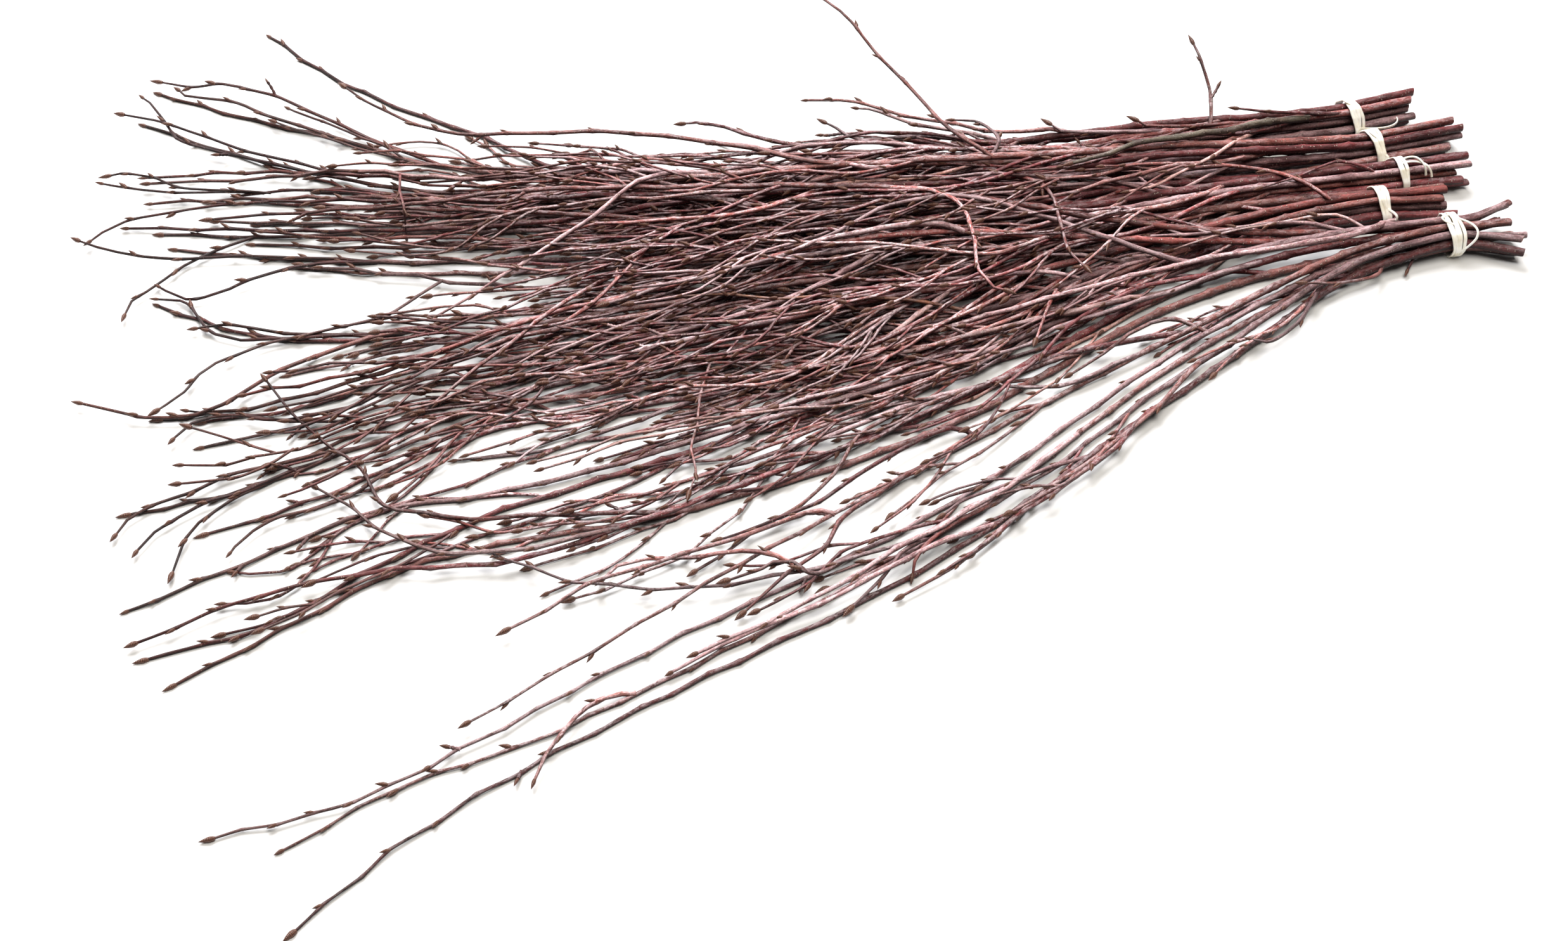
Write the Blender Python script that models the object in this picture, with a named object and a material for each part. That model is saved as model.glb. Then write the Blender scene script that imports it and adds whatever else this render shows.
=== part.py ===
"""A heap of five tied bundles of birch twigs, lying on a flat surface.

Each stem is one solid, from its flat cut end to its tip. A tie holds the stems of a bundle packed
together near their cut ends, and beyond it they fan out and lie over the stems laid down before them.
Units are metres. +X points at the cut ends, +Y at the back of the heap and +Z up.
"""

import math
import random

import bpy
import numpy as np
from mathutils import Vector

SEED = 11

# Stems
STEM_RADIUS = (0.0021, 0.0028)  # at the cut end, thinnest and thickest
TIP_RADIUS = 0.0008
TAPER = 0.85
STEM_SIDES = 6
STEM_SEGMENTS = 12  # beyond the tie
BUTT_LENGTH = 0.045  # cut end to tie, about
BUTT_STAGGER = 0.006
CURL = math.radians(16)  # how far a tip may turn off its heading
WANDER = 0.004  # how far a stem strays sideways from its course
SPAN_POINTS = 40  # of the dense line between two stations
END_ROOM = 0.008  # a course's stations end this far before its tip
CROSSED = 0.55  # share of the stems whose far ends are exchanged, so that they cross
CROSS_REACH = 3  # with the stem this many places along
CROSS_FROM = 2  # from this station on
FAN_SHORT = (0.0, 0.080, 0.030, 0.120, 0.055)  # how far short of its reach each stem of a fan ends, in turn

# Side twigs that stand clear of the heap
TWIG_RADIUS = 0.0014  # at the foot
TWIG_SIDES = 5
TWIG_SEGMENTS = 9

# Ties
TIE_WIDTH = 0.008
TIE_THICKNESS = 0.0012
TIE_CLEARANCE = 0.0004
TIE_SIDES = 16
TIE_SECTIONS = 5  # where the stems are measured across the width of a tie
TIE_REACH = 0.011  # half the straight stretch of a stem at its tie

SHARP_ANGLE = math.radians(70)  # edges sharper than this stay sharp

# Room left between stems: at the tie, and where side twigs lie between them
TIGHT_GAP = 0.0006
LOOSE_GAP = 0.0018
LOOSE_AT = 0.16  # distance from the tie where the loose gap is reached

# Laying a stem down: samples per segment, sweeps and how much it sags in each
SAMPLES = 6
SWEEPS = 260
LAST_LIFTS = 12
SAG = 0.0005
SLOPE_ALLOWANCE = 1.03
HELD_POINTS = 3  # of a tied stem that stay level: the cut end and both sides of the tie
TIP_SLOPE = 0.5  # how much of the slope before it the last stretch of a stem keeps

# Looks: linear colours and roughness
BARK = ((0.10, 0.035, 0.028), 0.6)
CREAM = ((0.78, 0.74, 0.60), 0.55)

# Where the courses of the stems are given: places along the heap, from the cut ends to the tips
STATIONS = (0.230, 0.080, -0.070, -0.140, -0.200, -0.260)


def shortened(course, short):
    """A course that ends short of its tip, on the same way."""
    *ys, tip_x, tip_y = course
    end = tip_x + short
    places = [-x for x in STATIONS] + [-tip_x]
    return [*ys, end, float(np.interp(-end, places, [*ys, tip_y]))]


def fan(first, last, count):
    """Courses of several stems, spread evenly between a first and a last course, with ragged tips."""
    courses = []
    for i in range(count):
        share = i / (count - 1)
        course = [a + (b - a) * share for a, b in zip(first, last)]
        courses.append(shortened(course, FAN_SHORT[i % len(FAN_SHORT)]))
    return courses


# Each bundle, from the back of the heap to the front: its tie, the bearing of its cut ends in degrees,
# how long they are and how much they splay, the stems in each layer, how far a tip may lie off its place,
# and the course of each stem. A course is the stem's y at each station, then its tip's x and y.
BUNDLES = [
    {
        "name": "bundle_1",
        "tie": (0.345, 0.280),
        "bearing": 18,
        "butt": 0.042,
        "splay": 0.1,
        "layers": (3, 4, 2),
        "crossing": True,
        "scatter": 0.014,
        "courses": [
            (0.264, 0.240, 0.225, 0.244, 0.282, 0.316, -0.332, 0.374),
            (0.262, 0.238, 0.226, 0.234, 0.240, 0.268, -0.388, 0.315),
            (0.260, 0.234, 0.222, 0.222, 0.218, 0.228, -0.404, 0.284),
        ]
        + fan(
            (0.258, 0.232, 0.220, 0.222, 0.228, 0.232, -0.375, 0.232),
            (0.245, 0.214, 0.190, 0.186, 0.182, 0.182, -0.350, 0.184),
            6,
        ),
    },
    {
        "name": "bundle_2",
        "tie": (0.354, 0.252),
        "bearing": 16,
        "butt": 0.052,
        "splay": 0.15,
        "layers": (3, 4, 2),
        "crossing": True,
        "scatter": 0.014,
        "courses": fan(
            (0.238, 0.208, 0.208, 0.214, 0.220, 0.226, -0.390, 0.224),
            (0.220, 0.180, 0.160, 0.152, 0.150, 0.154, -0.395, 0.166),
            9,
        ),
    },
    {
        "name": "bundle_3",
        "tie": (0.364, 0.226),
        "bearing": 11,
        "butt": 0.040,
        "splay": 0.2,
        "layers": (3, 4, 2),
        "crossing": True,
        "scatter": 0.014,
        "courses": fan(
            (0.214, 0.176, 0.180, 0.190, 0.196, 0.200, -0.345, 0.204),
            (0.202, 0.158, 0.138, 0.136, 0.146, 0.152, -0.340, 0.160),
            5,
        )
        + fan(
            (0.200, 0.155, 0.130, 0.118, 0.104, 0.094, -0.350, 0.124),
            (0.192, 0.146, 0.108, 0.084, 0.056, 0.020, -0.322, -0.022),
            4,
        ),
    },
    {
        "name": "bundle_4",
        "tie": (0.348, 0.199),
        "bearing": 6,
        "butt": 0.038,
        "splay": 0.25,
        "layers": (3, 4, 2),
        "crossing": True,
        "scatter": 0.014,
        "courses": fan(
            (0.188, 0.142, 0.112, 0.100, 0.078, 0.046, -0.335, 0.036),
            (0.160, 0.084, 0.044, 0.030, 0.006, -0.028, -0.325, -0.058),
            8,
        )
        + [(0.156, 0.070, 0.004, -0.028, -0.064, -0.108, -0.297, -0.124)],
    },
    {
        "name": "bundle_5",
        "tie": (0.384, 0.173),
        "bearing": 9,
        "butt": 0.038,
        "splay": 1.5,
        "layers": (3, 4, 3),
        "crossing": False,
        "scatter": 0,
        "courses": [
            (0.172, 0.180, 0.184, 0.186, 0.186, 0.184, -0.330, 0.180),
            (0.158, 0.156, 0.118, 0.098, 0.076, 0.060, -0.290, 0.050),
            (0.146, 0.062, 0.006, -0.014, -0.028, -0.060, -0.324, -0.094),
            (0.138, 0.040, -0.036, -0.064, -0.070, -0.091, -0.315, -0.116),
            (0.130, 0.024, -0.038, -0.054, -0.071, -0.116, -0.292, -0.139),
            (0.102, 0.010, -0.112, -0.161, -0.175, -0.175, -0.148, -0.164),
            (0.094, -0.031, -0.122, -0.172, -0.205, -0.225, -0.258, -0.225),
            (0.088, -0.042, -0.142, -0.184, -0.209, -0.231, -0.226, -0.231),
            (0.082, -0.047, -0.089, -0.066, -0.070, -0.070, -0.150, -0.062),
            (0.070, -0.060, -0.156, -0.198, -0.250, -0.272, -0.214, -0.272),
        ],
    },
]


# The side twigs: the bundle each grows from, how high its tip is lifted, and the places it passes over,
# foot first. A foot rests on the stem it grows from.
SIDE_TWIGS = [
    ("bundle_1", 0.052, [
        (0.266, 0.256), (0.258, 0.252), (0.256, 0.266), (0.255, 0.281), (0.246, 0.297),
    ]),
    ("bundle_1", 0.034, [
        (0.182, 0.250), (0.139, 0.247), (0.099, 0.260), (0.049, 0.270), (0.014, 0.266),
    ]),
    ("bundle_2", 0.072, [
        (0.131, 0.201), (0.104, 0.221), (0.083, 0.252), (0.063, 0.276), (0.024, 0.314),
    ]),
    ("bundle_4", 0.004, [
        (-0.200, 0.106), (-0.262, 0.080), (-0.312, 0.036), (-0.334, 0.034), (-0.377, 0.044),
    ]),
    ("bundle_5", 0.002, [
        (0.235, 0.083), (0.190, 0.030), (0.118, -0.035), (0.092, -0.062), (0.059, -0.086),
    ]),
    ("bundle_5", 0.002, [
        (0.176, 0.087), (0.111, 0.058), (0.042, 0.022), (0.025, -0.010), (-0.044, -0.070),
    ]),
    ("bundle_5", 0.002, [
        (0.020, -0.076), (-0.012, -0.067), (-0.040, -0.063), (-0.080, -0.065), (-0.090, -0.075),
    ]),
    ("bundle_5", 0.002, [
        (0.036, -0.026), (-0.012, -0.046), (-0.062, -0.070), (-0.100, -0.088), (-0.134, -0.109),
    ]),
    ("bundle_5", 0.002, [
        (-0.062, -0.137), (-0.092, -0.154), (-0.106, -0.172), (-0.111, -0.182), (-0.115, -0.195),
    ]),
]


def turned(direction, angle):
    """A plan direction turned anticlockwise by an angle in radians."""
    c, s = math.cos(angle), math.sin(angle)
    return np.array([direction[0] * c - direction[1] * s, direction[0] * s + direction[1] * c])


def heading(bundle):
    """Unit plan vectors along a bundle, towards its cut ends, and across it."""
    angle = math.radians(bundle["bearing"])
    along = np.array([math.cos(angle), math.sin(angle)])
    return along, turned(along, math.pi / 2)


def evenly(points, count):
    """The points of a dense line, resampled to count + 1 points an equal distance apart."""
    steps = np.linalg.norm(np.diff(points, axis=0), axis=1)
    run = np.concatenate([[0], np.cumsum(steps)])
    at = np.linspace(0, run[-1], count + 1)
    return np.stack([np.interp(at, run, points[:, k]) for k in range(points.shape[1])], axis=1)


def hermite(p0, m0, p1, m1, t):
    """A smooth curve from one point to another, with a given run at each."""
    t = np.asarray(t)[:, None]
    start = 2 * t**3 - 3 * t**2 + 1
    return p0 * start + m0 * (t**3 - 2 * t**2 + t) + p1 * (1 - start) + m1 * (t**3 - t**2)


def smooth_line(points, first_run, last_turn):
    """A dense smooth line through points, leaving the first along a direction."""
    points = [np.array(p) for p in points]
    count = len(points)
    runs = []
    for i in range(count):
        before = points[max(i - 1, 0)]
        after = points[min(i + 1, count - 1)]
        runs.append((after - before) / np.linalg.norm(after - before))
    runs[0] = first_run
    runs[-1] = turned(runs[-1], last_turn)
    line = []
    for i in range(count - 1):
        reach = np.linalg.norm(points[i + 1] - points[i])
        share = np.linspace(0, 1, SPAN_POINTS, endpoint=i == count - 2)
        line.append(hermite(points[i], runs[i] * reach, points[i + 1], runs[i + 1] * reach, share))
    return np.vstack(line)


def plan_path(bundle, slot, course, rng):
    """The line of a stem seen from above, from its cut end through its tie to its tip."""
    along, across = heading(bundle)
    hub = np.array(bundle["tie"]) + across * slot
    butt = hub + along * (bundle["butt"] + rng.uniform(-BUTT_STAGGER, BUTT_STAGGER))
    butt = butt + across * slot * bundle["splay"]
    tip = np.array(course[-2:]) + (rng.uniform(-bundle["scatter"], bundle["scatter"]), 0)
    stops = [hub - along * TIE_REACH]
    for x, y in zip(STATIONS, course):
        stray = rng.uniform(-WANDER, WANDER)
        if x > tip[0] + END_ROOM:
            stops.append((x, y + stray))
    stops.append(tip)
    line = smooth_line(stops, -along, rng.uniform(-CURL, CURL))
    return np.vstack([[butt, hub + along * TIE_REACH], evenly(line, STEM_SEGMENTS)])


def radii_along(path, butt_radius, tip_radius):
    steps = np.linalg.norm(np.diff(path, axis=0), axis=1)
    run = np.concatenate([[0], np.cumsum(steps)])
    run = run / run[-1]
    return tip_radius + (butt_radius - tip_radius) * (1 - run) ** TAPER


def interpolation(count):
    """The matrix that takes values at a stem's points to values at its samples, and each sample's segment."""
    shares, segments = [], []
    for i in range(count - 1):
        for k in range(SAMPLES):
            shares.append(k / SAMPLES)
            segments.append(i)
    shares.append(1.0)
    segments.append(count - 2)
    weights = np.zeros((len(shares), count))
    rows = np.arange(len(shares))
    weights[rows, segments] = 1 - np.array(shares)
    weights[rows, np.array(segments) + 1] = np.array(shares)
    return weights, np.array(segments)


def needed_heights(points, radii, gaps, floor, laid):
    """How high each sample must be to clear the surface and the stems already laid."""
    need = radii + floor
    for first, last in laid:
        step = last[:, :2] - first[:, :2]
        offset = points[:, None] - first[None, :, :2]
        t = np.clip((offset * step).sum(2) / (step * step).sum(1), 0, 1)[:, :, None]
        nearest = first + t * (last - first)
        apart = ((points[:, None] - nearest[:, :, :2]) ** 2).sum(2)
        room = (radii[:, None] + nearest[:, :, 3]) * SLOPE_ALLOWANCE + gaps[:, None]
        rise = np.sqrt(np.maximum(room**2 - apart, 0))
        over = np.where(apart < room**2, nearest[:, :, 2] + rise, 0)
        need = np.maximum(need, over.max(1))
    return need


def lay_down(path, radii, gaps, lowest, laid, held=0):
    """Heights of a stem's points, lying like a springy rod on the surface and on the stems already laid.

    The room to keep and the lowest height are given at each point, and the first held points stay level.
    """
    count = len(path)
    weights, segments = interpolation(count)
    need = needed_heights(weights @ path, weights @ radii, weights @ gaps, weights @ lowest, laid)
    z = np.array([need[segments == min(i, count - 2)].max() for i in range(count)])
    if held:
        z[:held] = need[segments < held - 1].max()
    tight = z[:held].copy()
    for sweep in range(SWEEPS + LAST_LIFTS):
        if sweep < SWEEPS:
            z[1:-1] = z[1:-1] / 2 + (z[:-2] + z[2:]) / 4 - SAG
            z[0] = z[0] - SAG
            z[-1] = z[-2] + (z[-2] - z[-3]) * TIP_SLOPE - SAG
            z[:held] = tight
        short = np.maximum(need - weights @ z, 0)
        lift = np.zeros(count)
        for i in range(count - 1):
            worst = short[segments == i].max()
            lift[i] = max(lift[i], worst)
            lift[i + 1] = max(lift[i + 1], worst)
        z += lift
    return z


def lay_stem(path, radii, laid):
    """A tied stem's line: its points, heights and radii."""
    from_tie = np.linalg.norm(path - (path[1] + path[2]) / 2, axis=1)
    beyond = np.clip((from_tie - BUTT_LENGTH) / LOOSE_AT, 0, 1)
    beyond[0] = 0
    gaps = TIGHT_GAP + (LOOSE_GAP - TIGHT_GAP) * beyond
    lowest = (TIE_THICKNESS + TIE_CLEARANCE) * (1 - beyond)
    return np.column_stack([path, lay_down(path, radii, gaps, lowest, laid, HELD_POINTS), radii])


def lay_side_twig(stops, tip_height, laid):
    """A side twig's line, from the stem it grows from to its tip."""
    leave = np.subtract(stops[1], stops[0]) / math.dist(stops[1], stops[0])
    path = evenly(smooth_line(stops, leave, 0), TWIG_SEGMENTS)
    radii = radii_along(path, TWIG_RADIUS, TIP_RADIUS)
    gaps = np.linspace(TIGHT_GAP, LOOSE_GAP, len(path))
    lowest = np.linspace(0, tip_height, len(path))
    return np.column_stack([path, lay_down(path, radii, gaps, lowest, laid), radii])


def packed_slots(radii):
    """Sideways places of the stems of one layer, side by side and centred."""
    width = sum(2 * r + TIGHT_GAP for r in radii)
    slots, edge = [], -width / 2
    for r in radii:
        slots.append(edge + r + TIGHT_GAP / 2)
        edge += 2 * r + TIGHT_GAP
    return slots


def crossed(courses, rng):
    """The courses with some of their far ends exchanged."""
    courses = [list(course) for course in courses]
    for i in range(len(courses) - CROSS_REACH):
        if rng.random() < CROSSED:
            one, other = courses[i], courses[i + CROSS_REACH]
            one[CROSS_FROM:], other[CROSS_FROM:] = other[CROSS_FROM:], one[CROSS_FROM:]
    return courses


def grow_bundle(bundle, rng, laid):
    """Lays the stems of one bundle, and returns the points and radii of each."""
    layers = []
    for size in bundle["layers"]:
        butt_radii = [rng.uniform(*STEM_RADIUS) for _ in range(size)]
        layers.append(list(zip(packed_slots(butt_radii), butt_radii)))
    order = sorted((slot, i, j) for i, layer in enumerate(layers) for j, (slot, _) in enumerate(layer))
    courses = sorted(bundle["courses"], key=lambda course: course[0])
    if bundle["crossing"]:
        courses = crossed(courses, rng)
    course_of = {(i, j): course for (_, i, j), course in zip(order, courses)}
    stems = []
    for i, layer in enumerate(layers):
        for j, (slot, butt_radius) in enumerate(layer):
            path = plan_path(bundle, slot, course_of[i, j], rng)
            radii = radii_along(path, butt_radius, TIP_RADIUS)
            line = lay_stem(path, radii, laid)
            laid.append((line[:-1], line[1:]))
            stems.append(line)
    return stems


def tube(line, sides):
    """Points and faces of a tapered tube with flat ends, through points given as x, y, z, radius."""
    centres = [Vector([float(value) for value in p[:3]]) for p in line]
    radii = [float(p[3]) for p in line]
    count = len(centres)
    tangents = []
    for i in range(count):
        before = centres[max(i - 1, 0)]
        after = centres[min(i + 1, count - 1)]
        tangents.append((after - before).normalized())
    points = []
    for centre, tangent, radius in zip(centres, tangents, radii):
        side = tangent.cross(Vector((0, 0, 1))).normalized()
        up = side.cross(tangent)
        for k in range(sides):
            angle = 2 * math.pi * k / sides
            points.append(centre + radius * (math.cos(angle) * side + math.sin(angle) * up))
    faces = []
    for i in range(count - 1):
        for k in range(sides):
            a, b = i * sides + k, i * sides + (k + 1) % sides
            faces.append((a, a + sides, b + sides, b))
    faces.append(tuple(range(sides)))
    faces.append(tuple(reversed(range((count - 1) * sides, count * sides))))
    return points, faces


def tie_outline(bundle, stems):
    """Corners of the closed outline around a bundle at its tie, as sideways and upward distances."""
    along, across = heading(bundle)
    tie = np.array(bundle["tie"])
    normals = [-math.pi / 2 + 2 * math.pi * k / TIE_SIDES for k in range(TIE_SIDES)]
    reach = np.full(TIE_SIDES, -1.0)
    for line in stems:
        for at in np.linspace(-TIE_WIDTH / 2, TIE_WIDTH / 2, TIE_SECTIONS):
            run = (line[:, :2] - tie) @ along
            section = [np.interp(at, run[::-1], line[::-1, k]) for k in range(4)]
            sideways = (np.array(section[:2]) - tie) @ across
            for k, angle in enumerate(normals):
                edge = sideways * math.cos(angle) + section[2] * math.sin(angle) + section[3]
                reach[k] = max(reach[k], edge)
    reach = reach + TIE_CLEARANCE
    reach[0] = -TIE_THICKNESS  # the underside lies on the surface
    return normals, reach


def outline_corners(normals, reach):
    """Where neighbouring sides of the outline meet."""
    corners = []
    for k in range(TIE_SIDES):
        a, b = normals[k], normals[(k + 1) % TIE_SIDES]
        ra, rb = reach[k], reach[(k + 1) % TIE_SIDES]
        det = math.sin(b - a)
        y = (ra * math.sin(b) - rb * math.sin(a)) / det
        z = (rb * math.cos(a) - ra * math.cos(b)) / det
        corners.append((y, z))
    return corners


def tie_band(bundle, stems):
    """Points and faces of the closed band around a bundle."""
    along, across = heading(bundle)
    normals, reach = tie_outline(bundle, stems)
    inner = outline_corners(normals, reach)
    outer = outline_corners(normals, reach + TIE_THICKNESS)
    points = []
    for shift in (-TIE_WIDTH / 2, TIE_WIDTH / 2):
        for ring in (inner, outer):
            for y, z in ring:
                x_y = np.array(bundle["tie"]) + along * shift + across * y
                points.append(Vector((x_y[0], x_y[1], z)))
    n = TIE_SIDES
    faces = []
    for k in range(n):
        m = (k + 1) % n
        faces.append((k, m, n + m, n + k))
        faces.append((n + k, n + m, 3 * n + m, 3 * n + k))
        faces.append((3 * n + k, 3 * n + m, 2 * n + m, 2 * n + k))
        faces.append((2 * n + k, 2 * n + m, m, k))
    return points, faces


def material(name, look):
    colour, roughness = look
    made = bpy.data.materials.new(name)
    made.use_nodes = True
    shader = made.node_tree.nodes["Principled BSDF"]
    shader.inputs["Base Color"].default_value = (*colour, 1)
    shader.inputs["Roughness"].default_value = roughness
    shader.inputs["Metallic"].default_value = 0
    return made


def add_object(name, points, faces, look, heap, smooth):
    """Adds a solid with its origin at its first point, standing in the heap."""
    origin = points[0]
    mesh = bpy.data.meshes.new(name)
    mesh.from_pydata([p - origin for p in points], [], faces)
    mesh.materials.append(look)
    if smooth:
        mesh.shade_smooth()
        mesh.set_sharp_from_angle(angle=SHARP_ANGLE)
    made = bpy.data.objects.new(name, mesh)
    made.location = origin
    made.parent = heap
    bpy.context.scene.collection.objects.link(made)
    return made


def centre_on_surface(heap):
    """Moves the heap so that the middle of its footprint is at the origin."""
    bpy.context.view_layer.update()
    corners = [o.matrix_world @ v.co for o in heap.children for v in o.data.vertices]
    lows = [min(c[k] for c in corners) for k in range(3)]
    highs = [max(c[k] for c in corners) for k in range(3)]
    heap.location = (-(lows[0] + highs[0]) / 2, -(lows[1] + highs[1]) / 2, -lows[2])


def main():
    for old in list(bpy.data.objects):
        bpy.data.objects.remove(old, do_unlink=True)
    rng = random.Random(SEED)
    bark = material("bark", BARK)
    cream = material("tie", CREAM)
    heap = bpy.data.objects.new("heap", None)
    bpy.context.scene.collection.objects.link(heap)
    laid = []
    for bundle in BUNDLES:
        stems = grow_bundle(bundle, rng, laid)
        for i, line in enumerate(stems, 1):
            points, faces = tube(line, STEM_SIDES)
            add_object(f"{bundle['name']}_stem_{i}", points, faces, bark, heap, smooth=True)
        points, faces = tie_band(bundle, stems)
        add_object(f"{bundle['name']}_tie", points, faces, cream, heap, smooth=False)
    for i, (bundle_name, tip_height, stops) in enumerate(SIDE_TWIGS, 1):
        line = lay_side_twig(stops, tip_height, laid)
        laid.append((line[:-1], line[1:]))
        points, faces = tube(line, TWIG_SIDES)
        add_object(f"{bundle_name}_side_twig_{i}", points, faces, bark, heap, smooth=True)
    centre_on_surface(heap)


main()
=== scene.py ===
"""Looks for a heap of five tied bundles of birch twigs, lying on a pale floor.

Every stem of the frame gets a twig with swollen nodes, buds, spurs and side twigs along the same line,
and every tie gets a wound elastic band. Units are metres.
"""

import math
import random
from collections import namedtuple

import bpy
import numpy as np
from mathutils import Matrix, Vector


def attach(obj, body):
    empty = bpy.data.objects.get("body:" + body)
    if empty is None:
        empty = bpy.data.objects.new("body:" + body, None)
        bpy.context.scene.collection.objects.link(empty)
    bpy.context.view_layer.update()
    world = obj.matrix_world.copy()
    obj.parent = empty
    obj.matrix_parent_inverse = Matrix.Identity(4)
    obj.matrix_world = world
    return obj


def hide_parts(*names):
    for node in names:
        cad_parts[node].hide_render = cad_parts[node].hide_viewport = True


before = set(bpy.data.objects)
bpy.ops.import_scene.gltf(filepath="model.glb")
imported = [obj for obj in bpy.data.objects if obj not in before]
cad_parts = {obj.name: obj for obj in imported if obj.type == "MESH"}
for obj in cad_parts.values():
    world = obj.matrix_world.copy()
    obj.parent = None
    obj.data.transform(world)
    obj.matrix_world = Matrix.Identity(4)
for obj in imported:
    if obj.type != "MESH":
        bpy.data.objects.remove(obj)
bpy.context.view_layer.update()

STEM_SEED, SEEN_SEED, TIE_SEED = 1000, 77, 50

# Camera
AIM = (-0.0176, -0.0510)  # the place on the floor at the middle of the picture
ELEVATION = math.radians(48)
DISTANCE = 1.1
VIEW_WIDTH = math.radians(41)
IMAGE_SIZE = (2474, 1484)
FOCAL = IMAGE_SIZE[0] / 2 / math.tan(VIEW_WIDTH / 2)  # the lens's focal length, in pixels
EYE = (AIM[0], AIM[1] - DISTANCE * math.cos(ELEVATION), DISTANCE * math.sin(ELEVATION))

# Floor and lights: where each light is, how wide, its power in watts and its colour
FLOOR_REACH = 14.0
LIGHTS = {
    "back_light": ((-0.5, 1.5, 1.8), 1.7, 126, (0.995, 0.985, 1.0)),
    "top_light": ((0.4, -0.2, 2.4), 1.8, 54, (1.0, 0.955, 0.88)),
}
WORLD_COLOUR, WORLD_STRENGTH = (1.0, 0.96, 0.90), 0.04

# The frame's solids
MICRONS = 1e6  # in a metre; corners that agree to a micron are one
STEM_SIDES, SIDE_TWIG_SIDES, TIE_SIDES = 6, 5, 16
FOOT_SKIPPED = 0.012  # stretch of a side twig's solid that lies along its stem
FOOT_STEP, FOOT_SWELLING, FOOT_DEPTH = 0.009, 1.15, 0.5  # the last as a share of its stem's radius

# Kinds of twig: the sides of their rings, the distance to the first bud, the share of thick twigs' buds
# that have come off, the spacing and size of their dents, and whether they have a cut end
Kind = namedtuple("Kind", "sides first_bud bare dent_step dent cut")
STEM = Kind(10, 0.075, 0.75, 0.006, 0.08, True)
OVER = Kind(9, 0.03, 0.5, 0.006, 0.08, True)
BRANCH = Kind(7, 0.02, 0.35, 0.013, 0.03, False)
SEEN = Kind(7, 0.02, 0.1, 0.013, 0.03, False)
TWIG = Kind(6, 0.015, 0.0, 0.013, 0.03, False)

# Shape of a twig
UP = np.array([0.0, 0.0, 1.0])
LOOK_AHEAD = 0.01  # the stretch over which a direction is taken
PHASE = (0, 6)  # starts of waves
CLEAR_OF_FLOOR = 0.0002
NODE_SPACING = (0.019, 0.037)  # between two buds
NODE_CROWDING = (1.05, 0.4)  # how the spacing shrinks towards the tip
LAST_NODE = 0.012  # from the tip
NODE_SWELLING = 0.26
NODE_VARIATION = (0.6, 1.3)
NODE_PROFILE = ((-0.0045, 0.0), (-0.0018, 0.45), (0.0, 1.0), (0.0022, 0.35), (0.0055, 0.0))
FIRST_DENT, DENT_FROM_NODE, CLOSEST_RINGS = 0.007, 0.0035, 0.0004
CUT_RIM, CUT_NARROWING, TIP_NARROWING, CUT_SLANT = 0.0012, 0.94, 0.9, (-0.5, 0.5)
ZIGZAG, ZIGZAG_VARIATION, ZIGZAG_TILT = 0.0010, (0.5, 1.2), (-0.5, 0.5)
SUPPLENESS = (1.6, 0.0016, (0.15, 1.5))  # at no radius, the radius that takes one off, and its limits
THIN_TIP = 0.0007
TAPER = 0.8
SHARP_EDGE = math.radians(62)

# Buds and spurs
BUD_LENGTH = (0.0050, 0.0078)
BUD_WIDTH = (0.17, 0.22)  # of its length
BUD_SHAPE = ((0.0, 0.55), (0.14, 0.85), (0.38, 1.0), (0.68, 0.66), (0.9, 0.24), (1.0, 0.03))
BUD_LEAN = (16, 34)  # degrees
BUD_CURL, BUD_SIDES, BUD_CLEAR_OF_FLOOR = 0.10, 6, 0.0001
BUD_LIFT = (-0.7, 0.9)
LOW_TWIG = 0.006  # twigs lower than this carry their buds on the upper side
BARE_RADII, BARE_SHARES = (0.0009, 0.0016), (0.2, 1.0)  # thick twigs have lost more of their buds
THICK_TWIG, BUD_ON_THICK, BUD_ON_THIN, BUD_AT_TIP = 0.0013, 0.62, 0.9, 1.08
BUD_SEAT, TIP_SEAT, TIP_LEAN = 0.75, 0.0008, 0.01
SPUR_SHARE, SPUR_FROM_RADIUS = 0.10, 0.0009
SPUR_LENGTH, SPUR_RADIUS, SPUR_KNOBS, SPUR_BEND = (0.003, 0.009), 0.00095, 0.18, 18
SPUR_HEIGHT, SPUR_ROOT, SPUR_BUD_SEAT, SPUR_RINGS, SPUR_SIDES = 0.0012, -0.001, 0.0006, 7, 6
SPUR_AHEAD, SPUR_AWAY = 0.8, 0.75
SPUR_BUD = (0.0045, 0.006)

# Side twigs
BRANCH_END = (0.66, 1.03)  # how far along its stem a side twig may reach, as a share
SHORTEST_BRANCH = 0.05
STRAY, FRONT_STRAY = 0.03, 0.008  # how far a side twig may reach out of its group of stems
EDGE_SLACK = 0.004
BRANCH_ANGLE = (20, 34)  # degrees at the fork
DRIFT_ANGLE = (-7, 10)  # degrees further along
ANGLE_FADE = (0.025, 0.060)
BRANCH_WAVE = (0.0015, 0.0070)  # how far it swings from side to side
WAVE_LENGTH, WAVE_EASE = (0.10, 0.24), 0.08
BRANCH_RISE, TWIG_RISE, RISE_EASE = (-0.008, 0.010), (-0.004, 0.006), 0.06
BRANCH_STEP, FEWEST_POINTS, BRANCH_PACE = 0.010, 5, 0.98
BRANCH_THICKNESS, THINNEST_FOOT = (0.5, 0.72), 0.0008  # of its stem's radius, and at least
ABOVE_FLOOR, ABOVE_HEAP, ROOM_ON_FLOOR = 0.0005, 0.006, 0.004
SMOOTHING = 6
BRANCH_TRIES = 5
TWIG_COUNTS, TWIG_START, TWIG_LENGTH = (1, 2, 2, 3), (0.2, 0.75), (0.04, 0.14)
CHECKED_EVERY = 6  # points of a side twig, in the test that it stays in its group

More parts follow.
